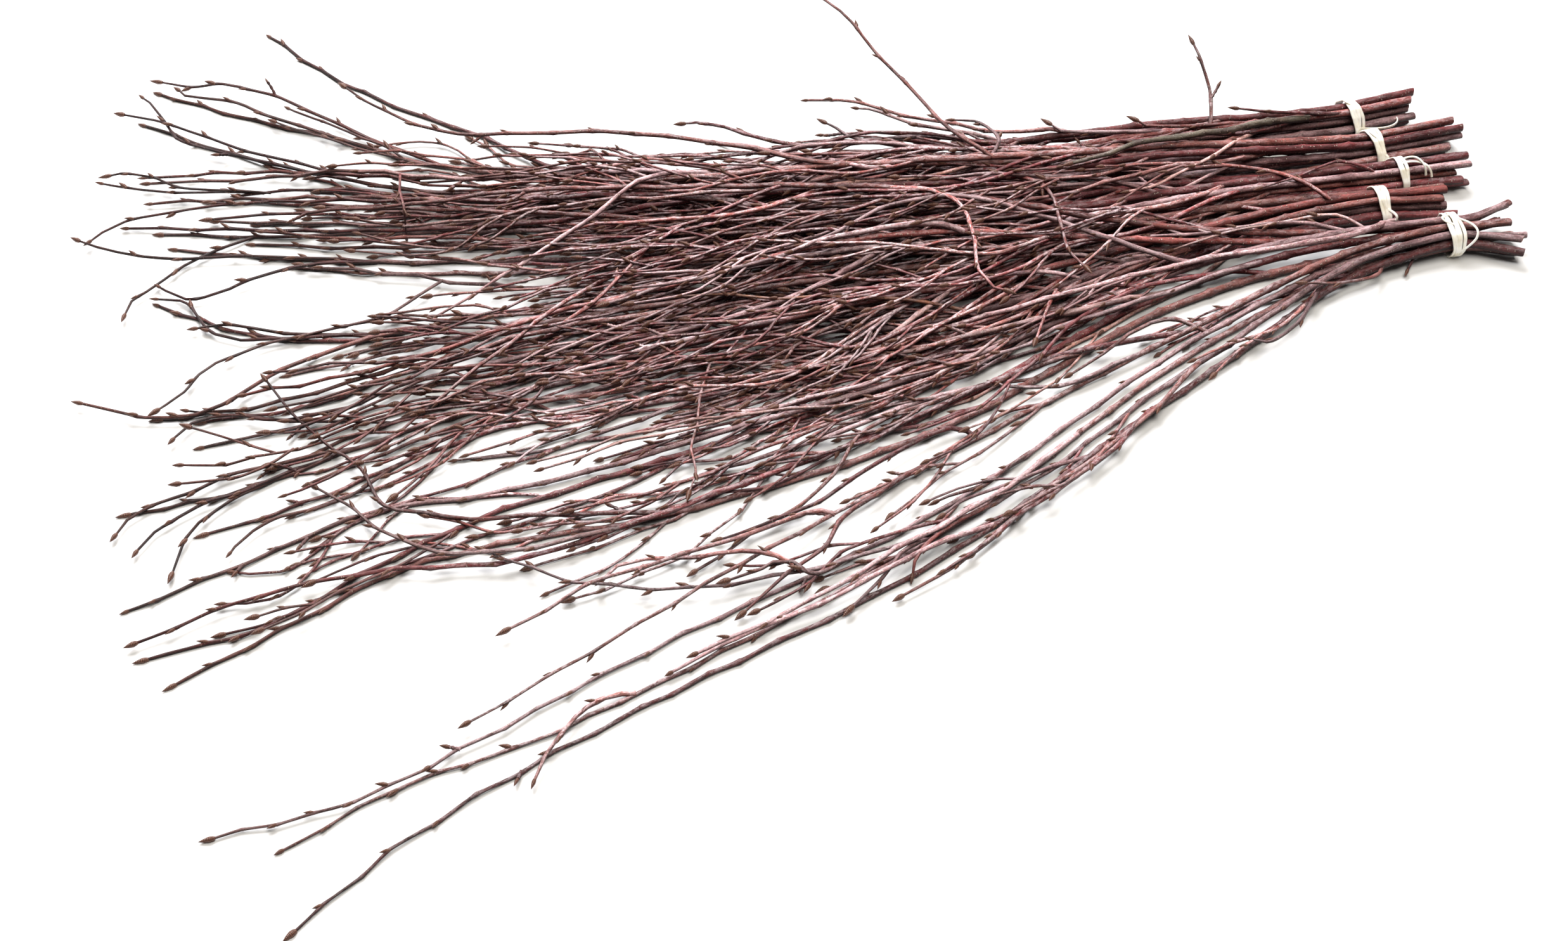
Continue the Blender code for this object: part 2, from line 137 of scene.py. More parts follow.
# Side twigs on each stem: how many, between which shares of it they leave, and how long they get
FRONT_PLAN = (2, (0.12, 0.52), (0.07, 0.13))
BACK_PLAN = (5, (0.10, 0.62), (0.14, 0.36))
BUNDLE_PLANS = {"bundle_5": (3, (0.10, 0.60), (0.12, 0.26)), "bundle_4": (9, (0.12, 0.82), (0.12, 0.36))}
GAP_PLACE = (-0.06, -0.115)  # a place in the gap between the heap and the stems in front of it
APART_SLIM = 0.78  # the stems in front of the heap are this much thinner than their solids, beyond the tie
SLIM_FROM, SLIM_TO = 0.06, 0.30  # distances from the cut end between which they thin out

# The bark's brightness where twigs are thin and where they stand out at the tips, and its bloom and painted
# sheen there
# the lower brightness of thin twigs and of the tips is a painted shade of twigs seen against the light
THIN_BRIGHT, THIN_RADII = 0.62, (0.0006, 0.0013)
TIP_BRIGHT = 0.34
TIP_BLOOM_AND_SHEEN = 0.10
TIPS_FROM, TIPS_TO = 0.15, 0.32  # distances from the middle of the heap towards the tips
BLOOM_AND_SHEEN_FADING = (1.50, 0.0022, (0.22, 1.0))  # as for SUPPLENESS

# Twigs that can be told apart in the photo, in its pixels, from where they leave the heap to the tip,
# with how high they end, in metres
SEEN_TWIGS = {
    "top_left_long": (0.014, [(1370, 270), (1270, 252), (1150, 228), (970, 208), (800, 211), (705, 209),
        (612, 178), (545, 138)]),
    "top_left_a": (0.01, [(700, 256), (600, 225), (520, 190), (450, 158), (370, 135), (310, 136),
        (255, 130)]),
    "top_left_b": (0.01, [(640, 246), (540, 220), (430, 185), (370, 162), (295, 152), (283, 143)]),
    "top_left_c": (0.01, [(520, 270), (400, 240), (320, 215), (260, 192), (195, 181)]),
    "top_left_d": (0.01, [(480, 262), (340, 238), (280, 220), (262, 193), (240, 165), (226, 155)]),
    "left_a": (0.006, [(430, 305), (300, 297), (240, 281), (200, 272), (174, 277)]),
    "left_b": (0.006, [(420, 304), (260, 302), (200, 298), (162, 290)]),
    "left_c": (0.006, [(600, 406), (450, 405), (260, 407), (200, 402), (145, 388), (125, 380)]),
    "left_d": (0.005, [(420, 318), (310, 328), (200, 350), (150, 374), (143, 380)]),
    "left_e": (0.004, [(400, 380), (330, 400), (285, 420), (240, 455), (203, 480), (197, 496)]),
    "left_f": (0.004, [(600, 408), (480, 418), (400, 440), (345, 462), (290, 470), (252, 453)]),
    "left_g": (0.004, [(620, 520), (500, 530), (450, 533), (370, 536), (325, 515), (290, 478), (249, 472)]),
    "left_h": (0.004, [(600, 540), (480, 526), (400, 518), (350, 514), (310, 518)]),
    "left_i": (0.004, [(700, 470), (600, 500), (470, 530), (400, 550), (330, 578), (290, 620), (250, 646)]),
    "left_j": (0.004, [(560, 655), (450, 663), (380, 655), (320, 662), (285, 678), (274, 692)]),
    "left_k": (0.004, [(620, 670), (480, 664), (420, 660), (350, 655), (296, 648)]),
    "low_left_a": (0.003, [(560, 700), (400, 740), (290, 780), (240, 800), (200, 822), (183, 843)]),
    "low_left_b": (0.003, [(520, 730), (380, 775), (290, 810), (240, 840), (216, 869)]),
    "low_left_c": (0.003, [(430, 760), (330, 810), (300, 845), (272, 904)]),
    "low_left_d": (0.003, [(640, 760), (560, 780), (500, 800), (440, 817), (385, 848), (364, 871)]),
    "bow_a": (0.004, [(1040, 785), (880, 811), (740, 818), (660, 808), (605, 795), (560, 730), (500, 690),
        (420, 600)]),
    "bow_b": (0.004, [(980, 835), (850, 860), (760, 872), (700, 871), (650, 860), (600, 835), (550, 800),
        (500, 770)]),
    "top_a": (0.03, [(1500, 213), (1400, 219), (1290, 232), (1185, 214), (1140, 199), (1095, 192),
        (1080, 195)]),
    "top_b": (0.032, [(1560, 218), (1450, 215), (1380, 221), (1350, 219), (1320, 201), (1303, 194)]),
    "top_c": (0.034, [(1590, 222), (1500, 205), (1435, 193), (1375, 173), (1353, 171)]),
    "top_d": (0.03, [(2120, 176), (2080, 180), (2000, 175), (1953, 171)]),
    "top_e": (0.028, [(1990, 192), (1900, 197), (1810, 198), (1795, 190)]),
    "top_f": (0.03, [(1860, 204), (1750, 208), (1672, 206), (1658, 196)]),
    "top_curl": (0.032, [(1560, 248), (1575, 225), (1565, 205), (1540, 190), (1505, 189)]),
    "over_a": (0.03, [(1400, 302), (1470, 300), (1525, 335), (1540, 400), (1555, 445), (1585, 457)]),
    "over_b": (0.03, [(1600, 281), (1640, 287), (1664, 315), (1670, 350), (1690, 395), (1712, 420)]),
    "over_c": (0.02, [(1668, 450), (1655, 485), (1635, 535)]),
    "over_f": (0.018, [(880, 520), (960, 455), (1010, 400), (1040, 366)]),
    "front_a": (0.002, [(1500, 845), (1425, 870), (1400, 900), (1345, 957)]),
    "front_b": (0.002, [(1560, 800), (1470, 850), (1440, 890), (1440, 906)]),
    "front_c": (0.003, [(1550, 700), (1500, 676), (1400, 720), (1300, 785), (1200, 830), (1138, 850)]),
    "front_d": (0.003, [(1480, 730), (1350, 800), (1300, 860), (1240, 910), (1175, 965)]),
    "front_e": (0.003, [(1350, 835), (1290, 905), (1240, 880), (1200, 900), (1150, 915)]),
    "front_f": (0.003, [(1620, 700), (1560, 760), (1510, 776), (1480, 790)]),
    "front_g": (0.002, [(1850, 620), (1800, 662), (1740, 722), (1600, 818), (1545, 865), (1490, 900)]),
    "wedge_a": (0.006, [(1860, 505), (1740, 545), (1660, 565), (1560, 605), (1480, 640), (1380, 690),
        (1300, 715), (1222, 731)]),
    "wedge_b": (0.006, [(1800, 560), (1700, 600), (1600, 610), (1575, 604)]),
    "wedge_c": (0.006, [(1900, 520), (1850, 505), (1790, 520), (1740, 560), (1690, 590)]),
    "under_a": (0.002, [(2090, 448), (2060, 490), (2035, 520), (2005, 540), (1975, 535)]),
    "under_b": (0.003, [(2240, 392), (2228, 410), (2221, 426)]),
    "under_c": (0.003, [(2185, 412), (2172, 436), (2120, 444), (2060, 446)]),
}
SEEN_FOOT, SEEN_PER_METRE, SEEN_SHARE = 0.0010, 0.004, 0.9  # radius, its growth, and share of its stem's
SEEN_LIFT, OVER_TAPER, HEIGHT_COUNTS = 0.0010, 0.45, 400  # the last in pixels a metre
LIFT_ROUNDS, EASING_ROUNDS = 4, 2  # for laying it on the heap, and for taking the dips out

# Thick twigs that lie over the heap in the photo, in its pixels: the radius at the foot, the shade, the way
OVER_TWIGS = {
    "upright": (0.0009, "maroon", [(632, 265), (634, 320), (641, 372)]),
    "hanging": (0.0009, "brown", [(1122, 560), (1108, 620), (1094, 690), (1096, 740), (1088, 775)]),
    "olive": (0.0022, "olive", [(2064, 190), (1988, 195), (1926, 207), (1845, 217), (1798, 226),
        (1750, 240), (1692, 257)]),
    "pale_long": (0.0016, "pale", [(1905, 425), (1860, 412), (1798, 393), (1750, 374), (1640, 340),
        (1560, 315), (1480, 309), (1400, 325), (1300, 375), (1230, 403), (1130, 432), (1040, 452),
        (960, 478)]),
    "grey_thick": (0.0018, "grey", [(1395, 396), (1350, 418), (1290, 450), (1220, 478), (1140, 504),
        (1050, 528), (985, 547)]),
    "grey_mottled": (0.0017, "pale", [(1510, 468), (1450, 497), (1400, 530), (1340, 560), (1290, 578)]),
    "pale_back": (0.0015, "grey", [(1830, 300), (1790, 295), (1740, 284), (1680, 277), (1600, 277),
        (1550, 276), (1480, 282)]),
    "grey_broad": (0.0021, "grey", [(1525, 362), (1480, 353), (1420, 356), (1370, 363), (1310, 376),
        (1250, 396)]),
    "white_mid": (0.0013, "pale", [(1710, 440), (1660, 431), (1600, 432), (1500, 441), (1400, 453),
        (1320, 466), (1240, 486)]),
    "white_right": (0.0012, "pale", [(1780, 408), (1700, 403), (1620, 400), (1560, 407), (1480, 420)]),
    "pink_front": (0.002, "pale", [(1850, 455), (1760, 476), (1690, 492), (1600, 512), (1500, 537),
        (1400, 560), (1280, 571)]),
    "tan": (0.0011, "orange", [(1530, 474), (1400, 470), (1250, 470), (1120, 467), (1060, 470)]),
    "pale_red": (0.0013, "red", [(1420, 556), (1320, 557), (1230, 557), (1050, 569), (900, 572),
        (780, 577), (660, 580)]),
    "grey_left": (0.0014, "pale", [(1060, 262), (1000, 290), (930, 345), (870, 385), (800, 430),
        (740, 468), (690, 498)]),
    "brown_arch": (0.0014, "red", [(2110, 324), (2090, 309), (2055, 288), (2012, 271), (1964, 264),
        (1893, 262), (1798, 258), (1740, 262)]),
    "orange_arch": (0.0011, "orange", [(2160, 360), (2121, 343), (2093, 340), (2036, 348), (1964, 360),
        (1898, 379), (1850, 394)]),
    "cut_grey": (0.002, "grey", [(2210, 346), (2169, 359), (2107, 376), (2036, 388), (1988, 395),
        (1893, 410), (1750, 445), (1600, 486), (1480, 520), (1380, 548), (1300, 560)]),
    "dark_arch": (0.001, "maroon", [(2188, 283), (2155, 265), (2112, 256), (2083, 263), (2040, 278),
        (1990, 296)]),
    "pink_fork": (0.0013, "pale", [(1985, 205), (1935, 232), (1917, 243), (1869, 269), (1824, 293),
        (1780, 302)]),
    "light_top": (0.0016, "pale", [(1420, 276), (1370, 265), (1300, 250), (1240, 240), (1190, 230),
        (1130, 228)]),
    "light_a": (0.0014, "pale", [(1250, 500), (1150, 520), (1040, 545), (940, 575), (860, 600), (780, 640)]),
    "light_b": (0.0013, "grey", [(1150, 610), (1040, 650), (930, 690), (840, 715), (760, 725)]),
    "light_c": (0.0016, "pale", [(1560, 590), (1430, 640), (1330, 680), (1220, 715), (1120, 745),
        (1040, 775)]),
    "light_d": (0.0015, "grey", [(1480, 560), (1380, 600), (1280, 628), (1180, 650), (1100, 665)]),
    "light_e": (0.0015, "pale", [(2000, 410), (1900, 440), (1800, 475), (1700, 505), (1600, 550),
        (1500, 590)]),
    "light_f": (0.0014, "red", [(1300, 300), (1200, 330), (1080, 345), (960, 352), (840, 372)]),
    "light_g": (0.0014, "pale", [(1250, 345), (1180, 350), (1120, 352), (1040, 372), (960, 395),
        (900, 400)]),
    "light_h": (0.0013, "red", [(1000, 430), (900, 470), (820, 530), (740, 590), (680, 640), (610, 700)]),
    "front_pale": (0.0017, "pale", [(1700, 690), (1600, 760), (1500, 820), (1400, 875), (1300, 935),
        (1200, 985), (1100, 1030)]),
    "front_grey": (0.0015, "grey", [(1560, 820), (1450, 870), (1340, 930), (1240, 975), (1150, 1010),
        (1060, 1060)]),
}

# The bark's shades, as places on its range of colours, and the shade of stems that stand out in the photo
SHADES = {"maroon": 0.0, "red": 0.2, "brown": 0.4, "grey": 0.6, "pale": 0.78, "orange": 0.86, "olive": 1.0}
STEM_SHADES = ("maroon", "brown", "red", "brown", "maroon", "grey", "brown", "grey", "maroon", "maroon")
THIN_SHADES = ("maroon", "red", "maroon", "brown", "brown", "grey", "maroon", "pale", "red", "brown")
NAMED_SHADES = {"bundle_5_stem_7": "red", "bundle_5_stem_3": "red", "bundle_5_stem_1": "brown"}
SHADE_SPREAD, BLOOM_AND_SHEEN_SPREAD = 0.05, (0.25, 1.0)
STEM_BRIGHTNESS, FRONT_BRIGHTNESS = (0.50, 1.05), (0.42, 0.75)
THIN_BRIGHTNESS, SEEN_BRIGHTNESS = (0.55, 1.30), (0.35, 0.70)


def unit(vector):
    return vector / np.linalg.norm(vector)


def fading(radii, start, scale, limits):
    """A share that gets smaller as a twig gets thicker."""
    return np.clip(start - np.asarray(radii) / scale, *limits)


def seen_at(px, py, height):
    """The place at a height that shows at a pixel of the photo."""
    across = (px - IMAGE_SIZE[0] / 2) / FOCAL
    down = (py - IMAGE_SIZE[1] / 2) / FOCAL
    s, c = math.sin(ELEVATION), math.cos(ELEVATION)
    ray = np.array([across, c - down * s, -s - down * c])
    return EYE + ray * (height - EYE[2]) / ray[2]


def pixel_of(points):
    """Where places show in the photo, in its pixels."""
    s, c = math.sin(ELEVATION), math.cos(ELEVATION)
    offset = points - np.array(EYE)
    depth = offset[:, 1] * c - offset[:, 2] * s
    up = offset[:, 1] * s + offset[:, 2] * c
    x = IMAGE_SIZE[0] / 2 + FOCAL * offset[:, 0] / depth
    y = IMAGE_SIZE[1] / 2 - FOCAL * up / depth
    return np.stack([x, y], axis=1)


class Line:
    """A smooth line through points, with a radius at each."""

    def __init__(self, points, radii, dense=14):
        points = np.asarray(points, float)
        before = np.vstack([2 * points[0] - points[1], points[:-1]])
        after = np.vstack([points[1:], 2 * points[-1] - points[-2]])
        runs = (after - before) / 2
        t = np.linspace(0, 1, dense, endpoint=False)[:, None]
        pieces, widths = [], []
        for i in range(len(points) - 1):
            p, q, m, n = points[i], points[i + 1], runs[i], runs[i + 1]
            start = 2 * t**3 - 3 * t**2 + 1
            pieces.append(p * start + m * (t**3 - 2 * t**2 + t) + q * (1 - start) + n * (t**3 - t**2))
            widths.append(radii[i] + (radii[i + 1] - radii[i]) * t[:, 0])
        self.points = np.vstack(pieces + [points[-1:]])
        self.radii = np.concatenate(widths + [[radii[-1]]])
        steps = np.linalg.norm(np.diff(self.points, axis=0), axis=1)
        self.run = np.concatenate([[0], np.cumsum(steps)])
        self.length = self.run[-1]

    def at(self, s):
        """Places at distances along the line, which runs on straight beyond its end."""
        s = np.asarray(s, float)
        inside = np.stack([np.interp(s, self.run, self.points[:, k]) for k in range(3)], axis=-1)
        beyond = np.maximum(s - self.length, 0)
        return inside + beyond[..., None] * unit(self.points[-1] - self.points[-4])

    def radius(self, s):
        return np.interp(s, self.run, self.radii)

    def sideways(self, s):
        """Level directions across the line."""
        s = np.asarray(s)
        ahead = self.at(s + LOOK_AHEAD) - self.at(np.maximum(s - LOOK_AHEAD, 0))
        across = np.cross(ahead, UP)
        return across / np.linalg.norm(across, axis=-1, keepdims=True)


def frame_line(node):
    """The middle line of a stem or side twig of the frame, from its thick end."""
    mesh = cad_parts[node].data
    place, index, points = [], {}, []
    for vertex in mesh.vertices:
        key = tuple(round(value * MICRONS) for value in vertex.co)
        if key not in index:
            index[key] = len(points)
            points.append(vertex.co[:])
        place.append(index[key])
    points = np.array(points)
    near = [set() for _ in points]
    for edge in mesh.edges:
        a, b = place[edge.vertices[0]], place[edge.vertices[1]]
        near[a].add(b)
        near[b].add(a)
    sides = STEM_SIDES if "stem" in node else SIDE_TWIG_SIDES
    ring = set(np.argsort(-points[:, 0])[:sides].tolist())
    seen, middles, radii = set(), [], []
    while ring:
        seen |= ring
        corners = points[sorted(ring)]
        middles.append(corners.mean(0))
        radii.append(np.linalg.norm(corners - middles[-1], axis=1).mean())
        ring = set().union(*(near[i] for i in ring)) - seen
    return Line(middles, radii)


class Growth:
    """Bark tubes, buds and cut ends, gathered into one mesh."""

    BARK, BUD, CUT = range(3)
    MILLIMETRES = 1000
    BARK_LENGTH, BARK_WIDTH = 9, 500  # in metres and millimetres: each twig shows another part of it
    BUD_PATTERN = 10

    def __init__(self):
        self.points, self.faces, self.uvs, self.looks, self.tints, self.count = [], [], [], [], [], 0

    def add_grid(self, rings, u, v, look, tint):
        """A tube of rings of points. u and v are places around and along the bark, in millimetres."""
        count, sides = rings.shape[:2]
        base = self.count + np.arange(count * sides).reshape(count, sides)
        right = np.roll(base, -1, axis=1)
        faces = np.stack([base[:-1], base[1:], right[1:], right[:-1]], axis=-1).reshape(-1, 4)
        low, high = u[:, :-1], u[:, 1:]
        along = np.repeat(v[:, None], sides, axis=1)
        corner_u = np.stack([low[:-1], low[1:], high[1:], high[:-1]], axis=-1).reshape(-1, 4)
        corner_v = np.stack([along[:-1], along[1:], along[1:], along[:-1]], axis=-1).reshape(-1, 4)
        self.points.append(rings.reshape(-1, 3))
        self.tints.append(np.repeat(np.broadcast_to(tint, (count, 3)), sides, axis=0))
        self.faces += faces.tolist()
        self.uvs.append(np.stack([corner_u, corner_v], axis=-1).reshape(-1, 2))
        self.looks += [look] * len(faces)
        self.count += count * sides
        return base

    def add_fan(self, ring, look):
        """A flat end over a ring of points."""
        self.faces.append(list(ring))
        self.uvs.append(np.zeros((len(ring), 2)))
        self.looks.append(look)

    def tube(self, path, radii, sides, tint, rng, cut=False, rough=0.0):
        """A tapering tube along a path, closed at both ends."""
        path = np.asarray(path, float)
        radii = np.asarray(radii)
        tangent = np.gradient(path, axis=0)
        tangent /= np.linalg.norm(tangent, axis=1, keepdims=True)
        side = np.cross(tangent, UP)
        side /= np.linalg.norm(side, axis=1, keepdims=True)
        up = np.cross(side, tangent)
        angle = np.linspace(0, 2 * math.pi, sides, endpoint=False) + rng.uniform(0, 1)
        reach = np.repeat(radii[:, None], sides, axis=1)
        if rough:
            dents = np.array([[rng.uniform(-rough, rough) for _ in range(sides)] for _ in range(len(path))])
            dents[1:-1] = (dents[:-2] + 2 * dents[1:-1] + dents[2:]) / 3
            reach = reach * (1 + dents)
        out = np.cos(angle)[None, :, None] * side[:, None] + np.sin(angle)[None, :, None] * up[:, None]
        rings = path[:, None] + reach[..., None] * out
        if cut:
            slant = rng.uniform(*CUT_SLANT) * reach[0]
            rings[0] += tangent[0] * (slant * np.cos(angle))[:, None]
        run = np.concatenate([[0], np.cumsum(np.linalg.norm(np.diff(path, axis=0), axis=1))])
        v = (run + rng.uniform(0, self.BARK_LENGTH)) * self.MILLIMETRES
        u = np.linspace(0, 1, sides + 1)[None] * 2 * math.pi * radii[:, None] * self.MILLIMETRES
        shade = np.tile(np.asarray(tint, float), (len(path), 1))
        # less bloom and painted sheen on thick twigs and at the tips; thin twigs and tips darker, a painted
        # shade of twigs seen against the light
        shade[:, 1] *= fading(radii, *BLOOM_AND_SHEEN_FADING)
        shade[:, 2] *= np.interp(radii, THIN_RADII, (THIN_BRIGHT, 1.0))
        shade[:, 1] *= np.interp(-path[:, 0], (TIPS_FROM, TIPS_TO), (1.0, TIP_BLOOM_AND_SHEEN))
        shade[:, 2] *= np.interp(-path[:, 0], (TIPS_FROM, TIPS_TO), (1.0, TIP_BRIGHT))
        base = self.add_grid(rings, u + rng.uniform(0, self.BARK_WIDTH), v, self.BARK, shade)
        self.add_fan(base[0].tolist(), self.CUT if cut else self.BARK)
        self.add_fan(base[-1][::-1].tolist(), self.BARK)

    def bud(self, foot, along, away, length, rng, tint):
        """A pointed bud that leans away from its twig and bends back along it."""
        width = length * rng.uniform(*BUD_WIDTH)
        side = unit(np.cross(along, away))
        lean = math.radians(rng.uniform(*BUD_LEAN))
        axis = along * math.cos(lean) + away * math.sin(lean)
        path, radii = [], []
        for share, reach in BUD_SHAPE:
            path.append(foot + axis * length * share + along * length * BUD_CURL * share**2)
            radii.append(width * reach)
        path = np.array(path)
        up = unit(np.cross(side, unit(axis)))
        angle = np.linspace(0, 2 * math.pi, BUD_SIDES, endpoint=False)
        out = np.cos(angle)[:, None] * side + np.sin(angle)[:, None] * up
        rings = path[:, None] + np.array(radii)[:, None, None] * out[None]
        rings[:, :, 2] = np.maximum(rings[:, :, 2], BUD_CLEAR_OF_FLOOR)
        u = np.tile(np.linspace(0, BUD_SIDES, BUD_SIDES + 1), (len(path), 1))
        v = np.array([share for share, _ in BUD_SHAPE]) * self.BUD_PATTERN
        base = self.add_grid(rings, u, v, self.BUD, tint)
        self.add_fan(base[0].tolist(), self.BUD)
        self.add_fan(base[-1][::-1].tolist(), self.BUD)

    def make(self, name, looks):
        mesh = bpy.data.meshes.new(name)
        mesh.from_pydata(np.vstack(self.points).tolist(), [], self.faces)
        layer = mesh.uv_layers.new(name="bark")
        layer.data.foreach_set("uv", np.vstack(self.uvs).astype(np.float32).ravel())
        mesh.polygons.foreach_set("material_index", np.array(self.looks, np.int32))
        tint = mesh.attributes.new("tint", "FLOAT_VECTOR", "POINT")
        tint.data.foreach_set("vector", np.vstack(self.tints).astype(np.float32).ravel())
        for look in looks:
            mesh.materials.append(look)
        mesh.shade_smooth()
        mesh.set_sharp_from_angle(angle=SHARP_EDGE)
        made = bpy.data.objects.new(name, mesh)
        bpy.context.scene.collection.objects.link(made)
        return made


def shade_of(name, rng, brightness=THIN_BRIGHTNESS):
    """A twig's shade, how much bloom and painted sheen lies on it and how bright it is."""
    shade = SHADES[name] + rng.uniform(-SHADE_SPREAD, SHADE_SPREAD)
    return (shade, rng.uniform(*BLOOM_AND_SHEEN_SPREAD), rng.uniform(*brightness))


def node_places(length, start, rng):
    """Distances of the buds along a twig, closer together towards its tip."""
    places, s = [], start
    while s < length - LAST_NODE:
        places.append(s)
        s += rng.uniform(*NODE_SPACING) * (NODE_CROWDING[0] - NODE_CROWDING[1] * s / length)
    return places


def twig_profile(line, nodes, kind, rng):
    """Distances of a twig's rings along it and how much it swells at each."""
    stops, swell = [0.0, CUT_RIM], [CUT_NARROWING if kind.cut else 1.0, 1.0]
    for node in nodes:
        for offset, share in NODE_PROFILE:
            stops.append(node + offset)
            swell.append(1 + NODE_SWELLING * share * rng.uniform(*NODE_VARIATION))
    for dent in np.arange(FIRST_DENT, line.length, kind.dent_step):
        if min(abs(dent - stop) for stop in stops) > DENT_FROM_NODE:
            stops.append(dent)
            swell.append(1 + rng.uniform(-kind.dent, kind.dent))
    stops.append(line.length)
    swell.append(TIP_NARROWING)
    order = np.argsort(stops)
    s, swell = np.array(stops)[order], np.array(swell)[order]
    keep = np.concatenate([[True], np.diff(s) > CLOSEST_RINGS]) & (s <= line.length)
    return s[keep], swell[keep]


def bent_path(line, nodes, s, rng):
    """Places along a twig that turns a little to one side and the other at its nodes."""
    tilt = rng.uniform(*ZIGZAG_TILT)
    turns = [0.0] + nodes + [line.length]
    shift = [0.0] + [(-1) ** i * rng.uniform(*ZIGZAG_VARIATION) for i in range(len(nodes))] + [0.0]
    bend = np.interp(s, turns, shift) * ZIGZAG * fading(line.radius(s), *SUPPLENESS)
    return line.at(s) + bend[:, None] * (line.sideways(s) + tilt * UP)


def grow_twig(growth, line, kind, rng, tint, slim=1.0):
    """A twig with swollen nodes along a line, with its buds and spurs."""
    nodes = node_places(line.length, kind.first_bud, rng)
    s, swell = twig_profile(line, nodes, kind, rng)
    path = bent_path(line, nodes, s, rng)
    radii = line.radius(s) * swell * np.interp(s, (SLIM_FROM, SLIM_TO), (1.0, slim))
    path[:, 2] = np.maximum(path[:, 2], radii + CLEAR_OF_FLOOR)
    growth.tube(path, radii, kind.sides, tint, rng, cut=kind.cut, rough=kind.dent)
    for i, place in enumerate(nodes):
        grow_at_node(growth, line, place, (-1) ** i, rng, tint, kind.bare)
    tip = line.at(line.length)
    ahead = unit(tip - line.at(line.length - LOOK_AHEAD))
    away = unit(np.cross(ahead, UP)) * TIP_LEAN
    growth.bud(tip - ahead * TIP_SEAT, ahead, away, rng.uniform(*BUD_LENGTH) * BUD_AT_TIP, rng, tint)


def grow_at_node(growth, line, place, turn, rng, tint, bare):
    """A bud or a spur at one node of a twig, unless it has come off."""
    here = line.at(place)
    ahead = unit(line.at(place + LOOK_AHEAD) - line.at(place - LOOK_AHEAD))
    across = line.sideways(np.array([place]))[0]
    lift = rng.uniform(*BUD_LIFT)
    if here[2] < LOW_TWIG:
        lift = abs(lift)
    away = unit(across * turn + UP * lift)
    away = unit(away - ahead * away.dot(ahead))
    radius = line.radius(place)
    if rng.random() < bare * np.interp(radius, BARE_RADII, BARE_SHARES):
        return
    foot = here + away * radius * BUD_SEAT
    if rng.random() < SPUR_SHARE and radius > SPUR_FROM_RADIUS:
        spur(growth, foot, ahead, away, rng, tint)
    else:
        size = rng.uniform(*BUD_LENGTH) * (BUD_ON_THICK if radius > THICK_TWIG else BUD_ON_THIN)
        growth.bud(foot, ahead, away, size, rng, tint)


def spur(growth, foot, ahead, away, rng, tint):
    """A short knobbly shoot with a bud at its end."""
    length = rng.uniform(*SPUR_LENGTH)
    axis = unit(ahead * SPUR_AHEAD + away * SPUR_AWAY)
    s = np.linspace(SPUR_ROOT, length, SPUR_RINGS)
    path = foot + s[:, None] * axis + (s**2 * SPUR_BEND)[:, None] * ahead
    radii = SPUR_RADIUS * (1 + SPUR_KNOBS * np.cos(np.arange(len(s)) * math.pi))
    path[:, 2] = np.maximum(path[:, 2], SPUR_HEIGHT)
    growth.tube(path, radii, SPUR_SIDES, tint, rng)
    ahead = unit(path[-1] - path[-3])
    growth.bud(path[-1] - axis * SPUR_BUD_SEAT, ahead, away * TIP_LEAN, rng.uniform(*SPUR_BUD), rng, tint)


class Heap:
    """Where the stems lie, for keeping side twigs within the heap."""

    CELL = 0.008
    SAMPLE = 0.004

    def __init__(self, lines):
        self.lines = lines
        samples = []
        for line in lines.values():
            s = np.arange(0, line.length, self.SAMPLE)
            samples.append(np.column_stack([line.at(s), line.radius(s)]))
        self.samples = np.vstack(samples)
        self.pixels = pixel_of(self.samples[:, :3])
        self.owner = np.concatenate([[i] * len(part) for i, part in enumerate(samples)])
        self.names = list(lines)
        self.top = {}
        for x, y, z, r in self.samples:
            key = self.cell(x, y)
            self.top[key] = max(self.top.get(key, 0), z + r)

    def cell(self, x, y):
        return (round(x / self.CELL), round(y / self.CELL))

    def top_at(self, x, y):
        """The height of the highest stem near a place."""
        i, j = self.cell(x, y)
        return max(self.top.get((i + a, j + b), 0) for a in (-1, 0, 1) for b in (-1, 0, 1))

    def edges_at(self, x, group):
        """How far front and back the stems of a group lie, at a distance along the heap."""
        ys = []
        for name in group:
            line = self.lines[name]
            if line.points[:, 0].min() < x < line.points[:, 0].max():
                ys.append(np.interp(-x, -line.points[:, 0], line.points[:, 1]))
        return (min(ys), max(ys)) if ys else None

    def nearest_seen(self, px, py):
        """The stem sample that shows nearest to a pixel, the upper one of several."""
        apart = np.hypot(self.pixels[:, 0] - px, self.pixels[:, 1] - py)
        best = int(np.argmin(apart - self.samples[:, 2] * HEIGHT_COUNTS))
        return self.names[self.owner[best]], self.samples[best]


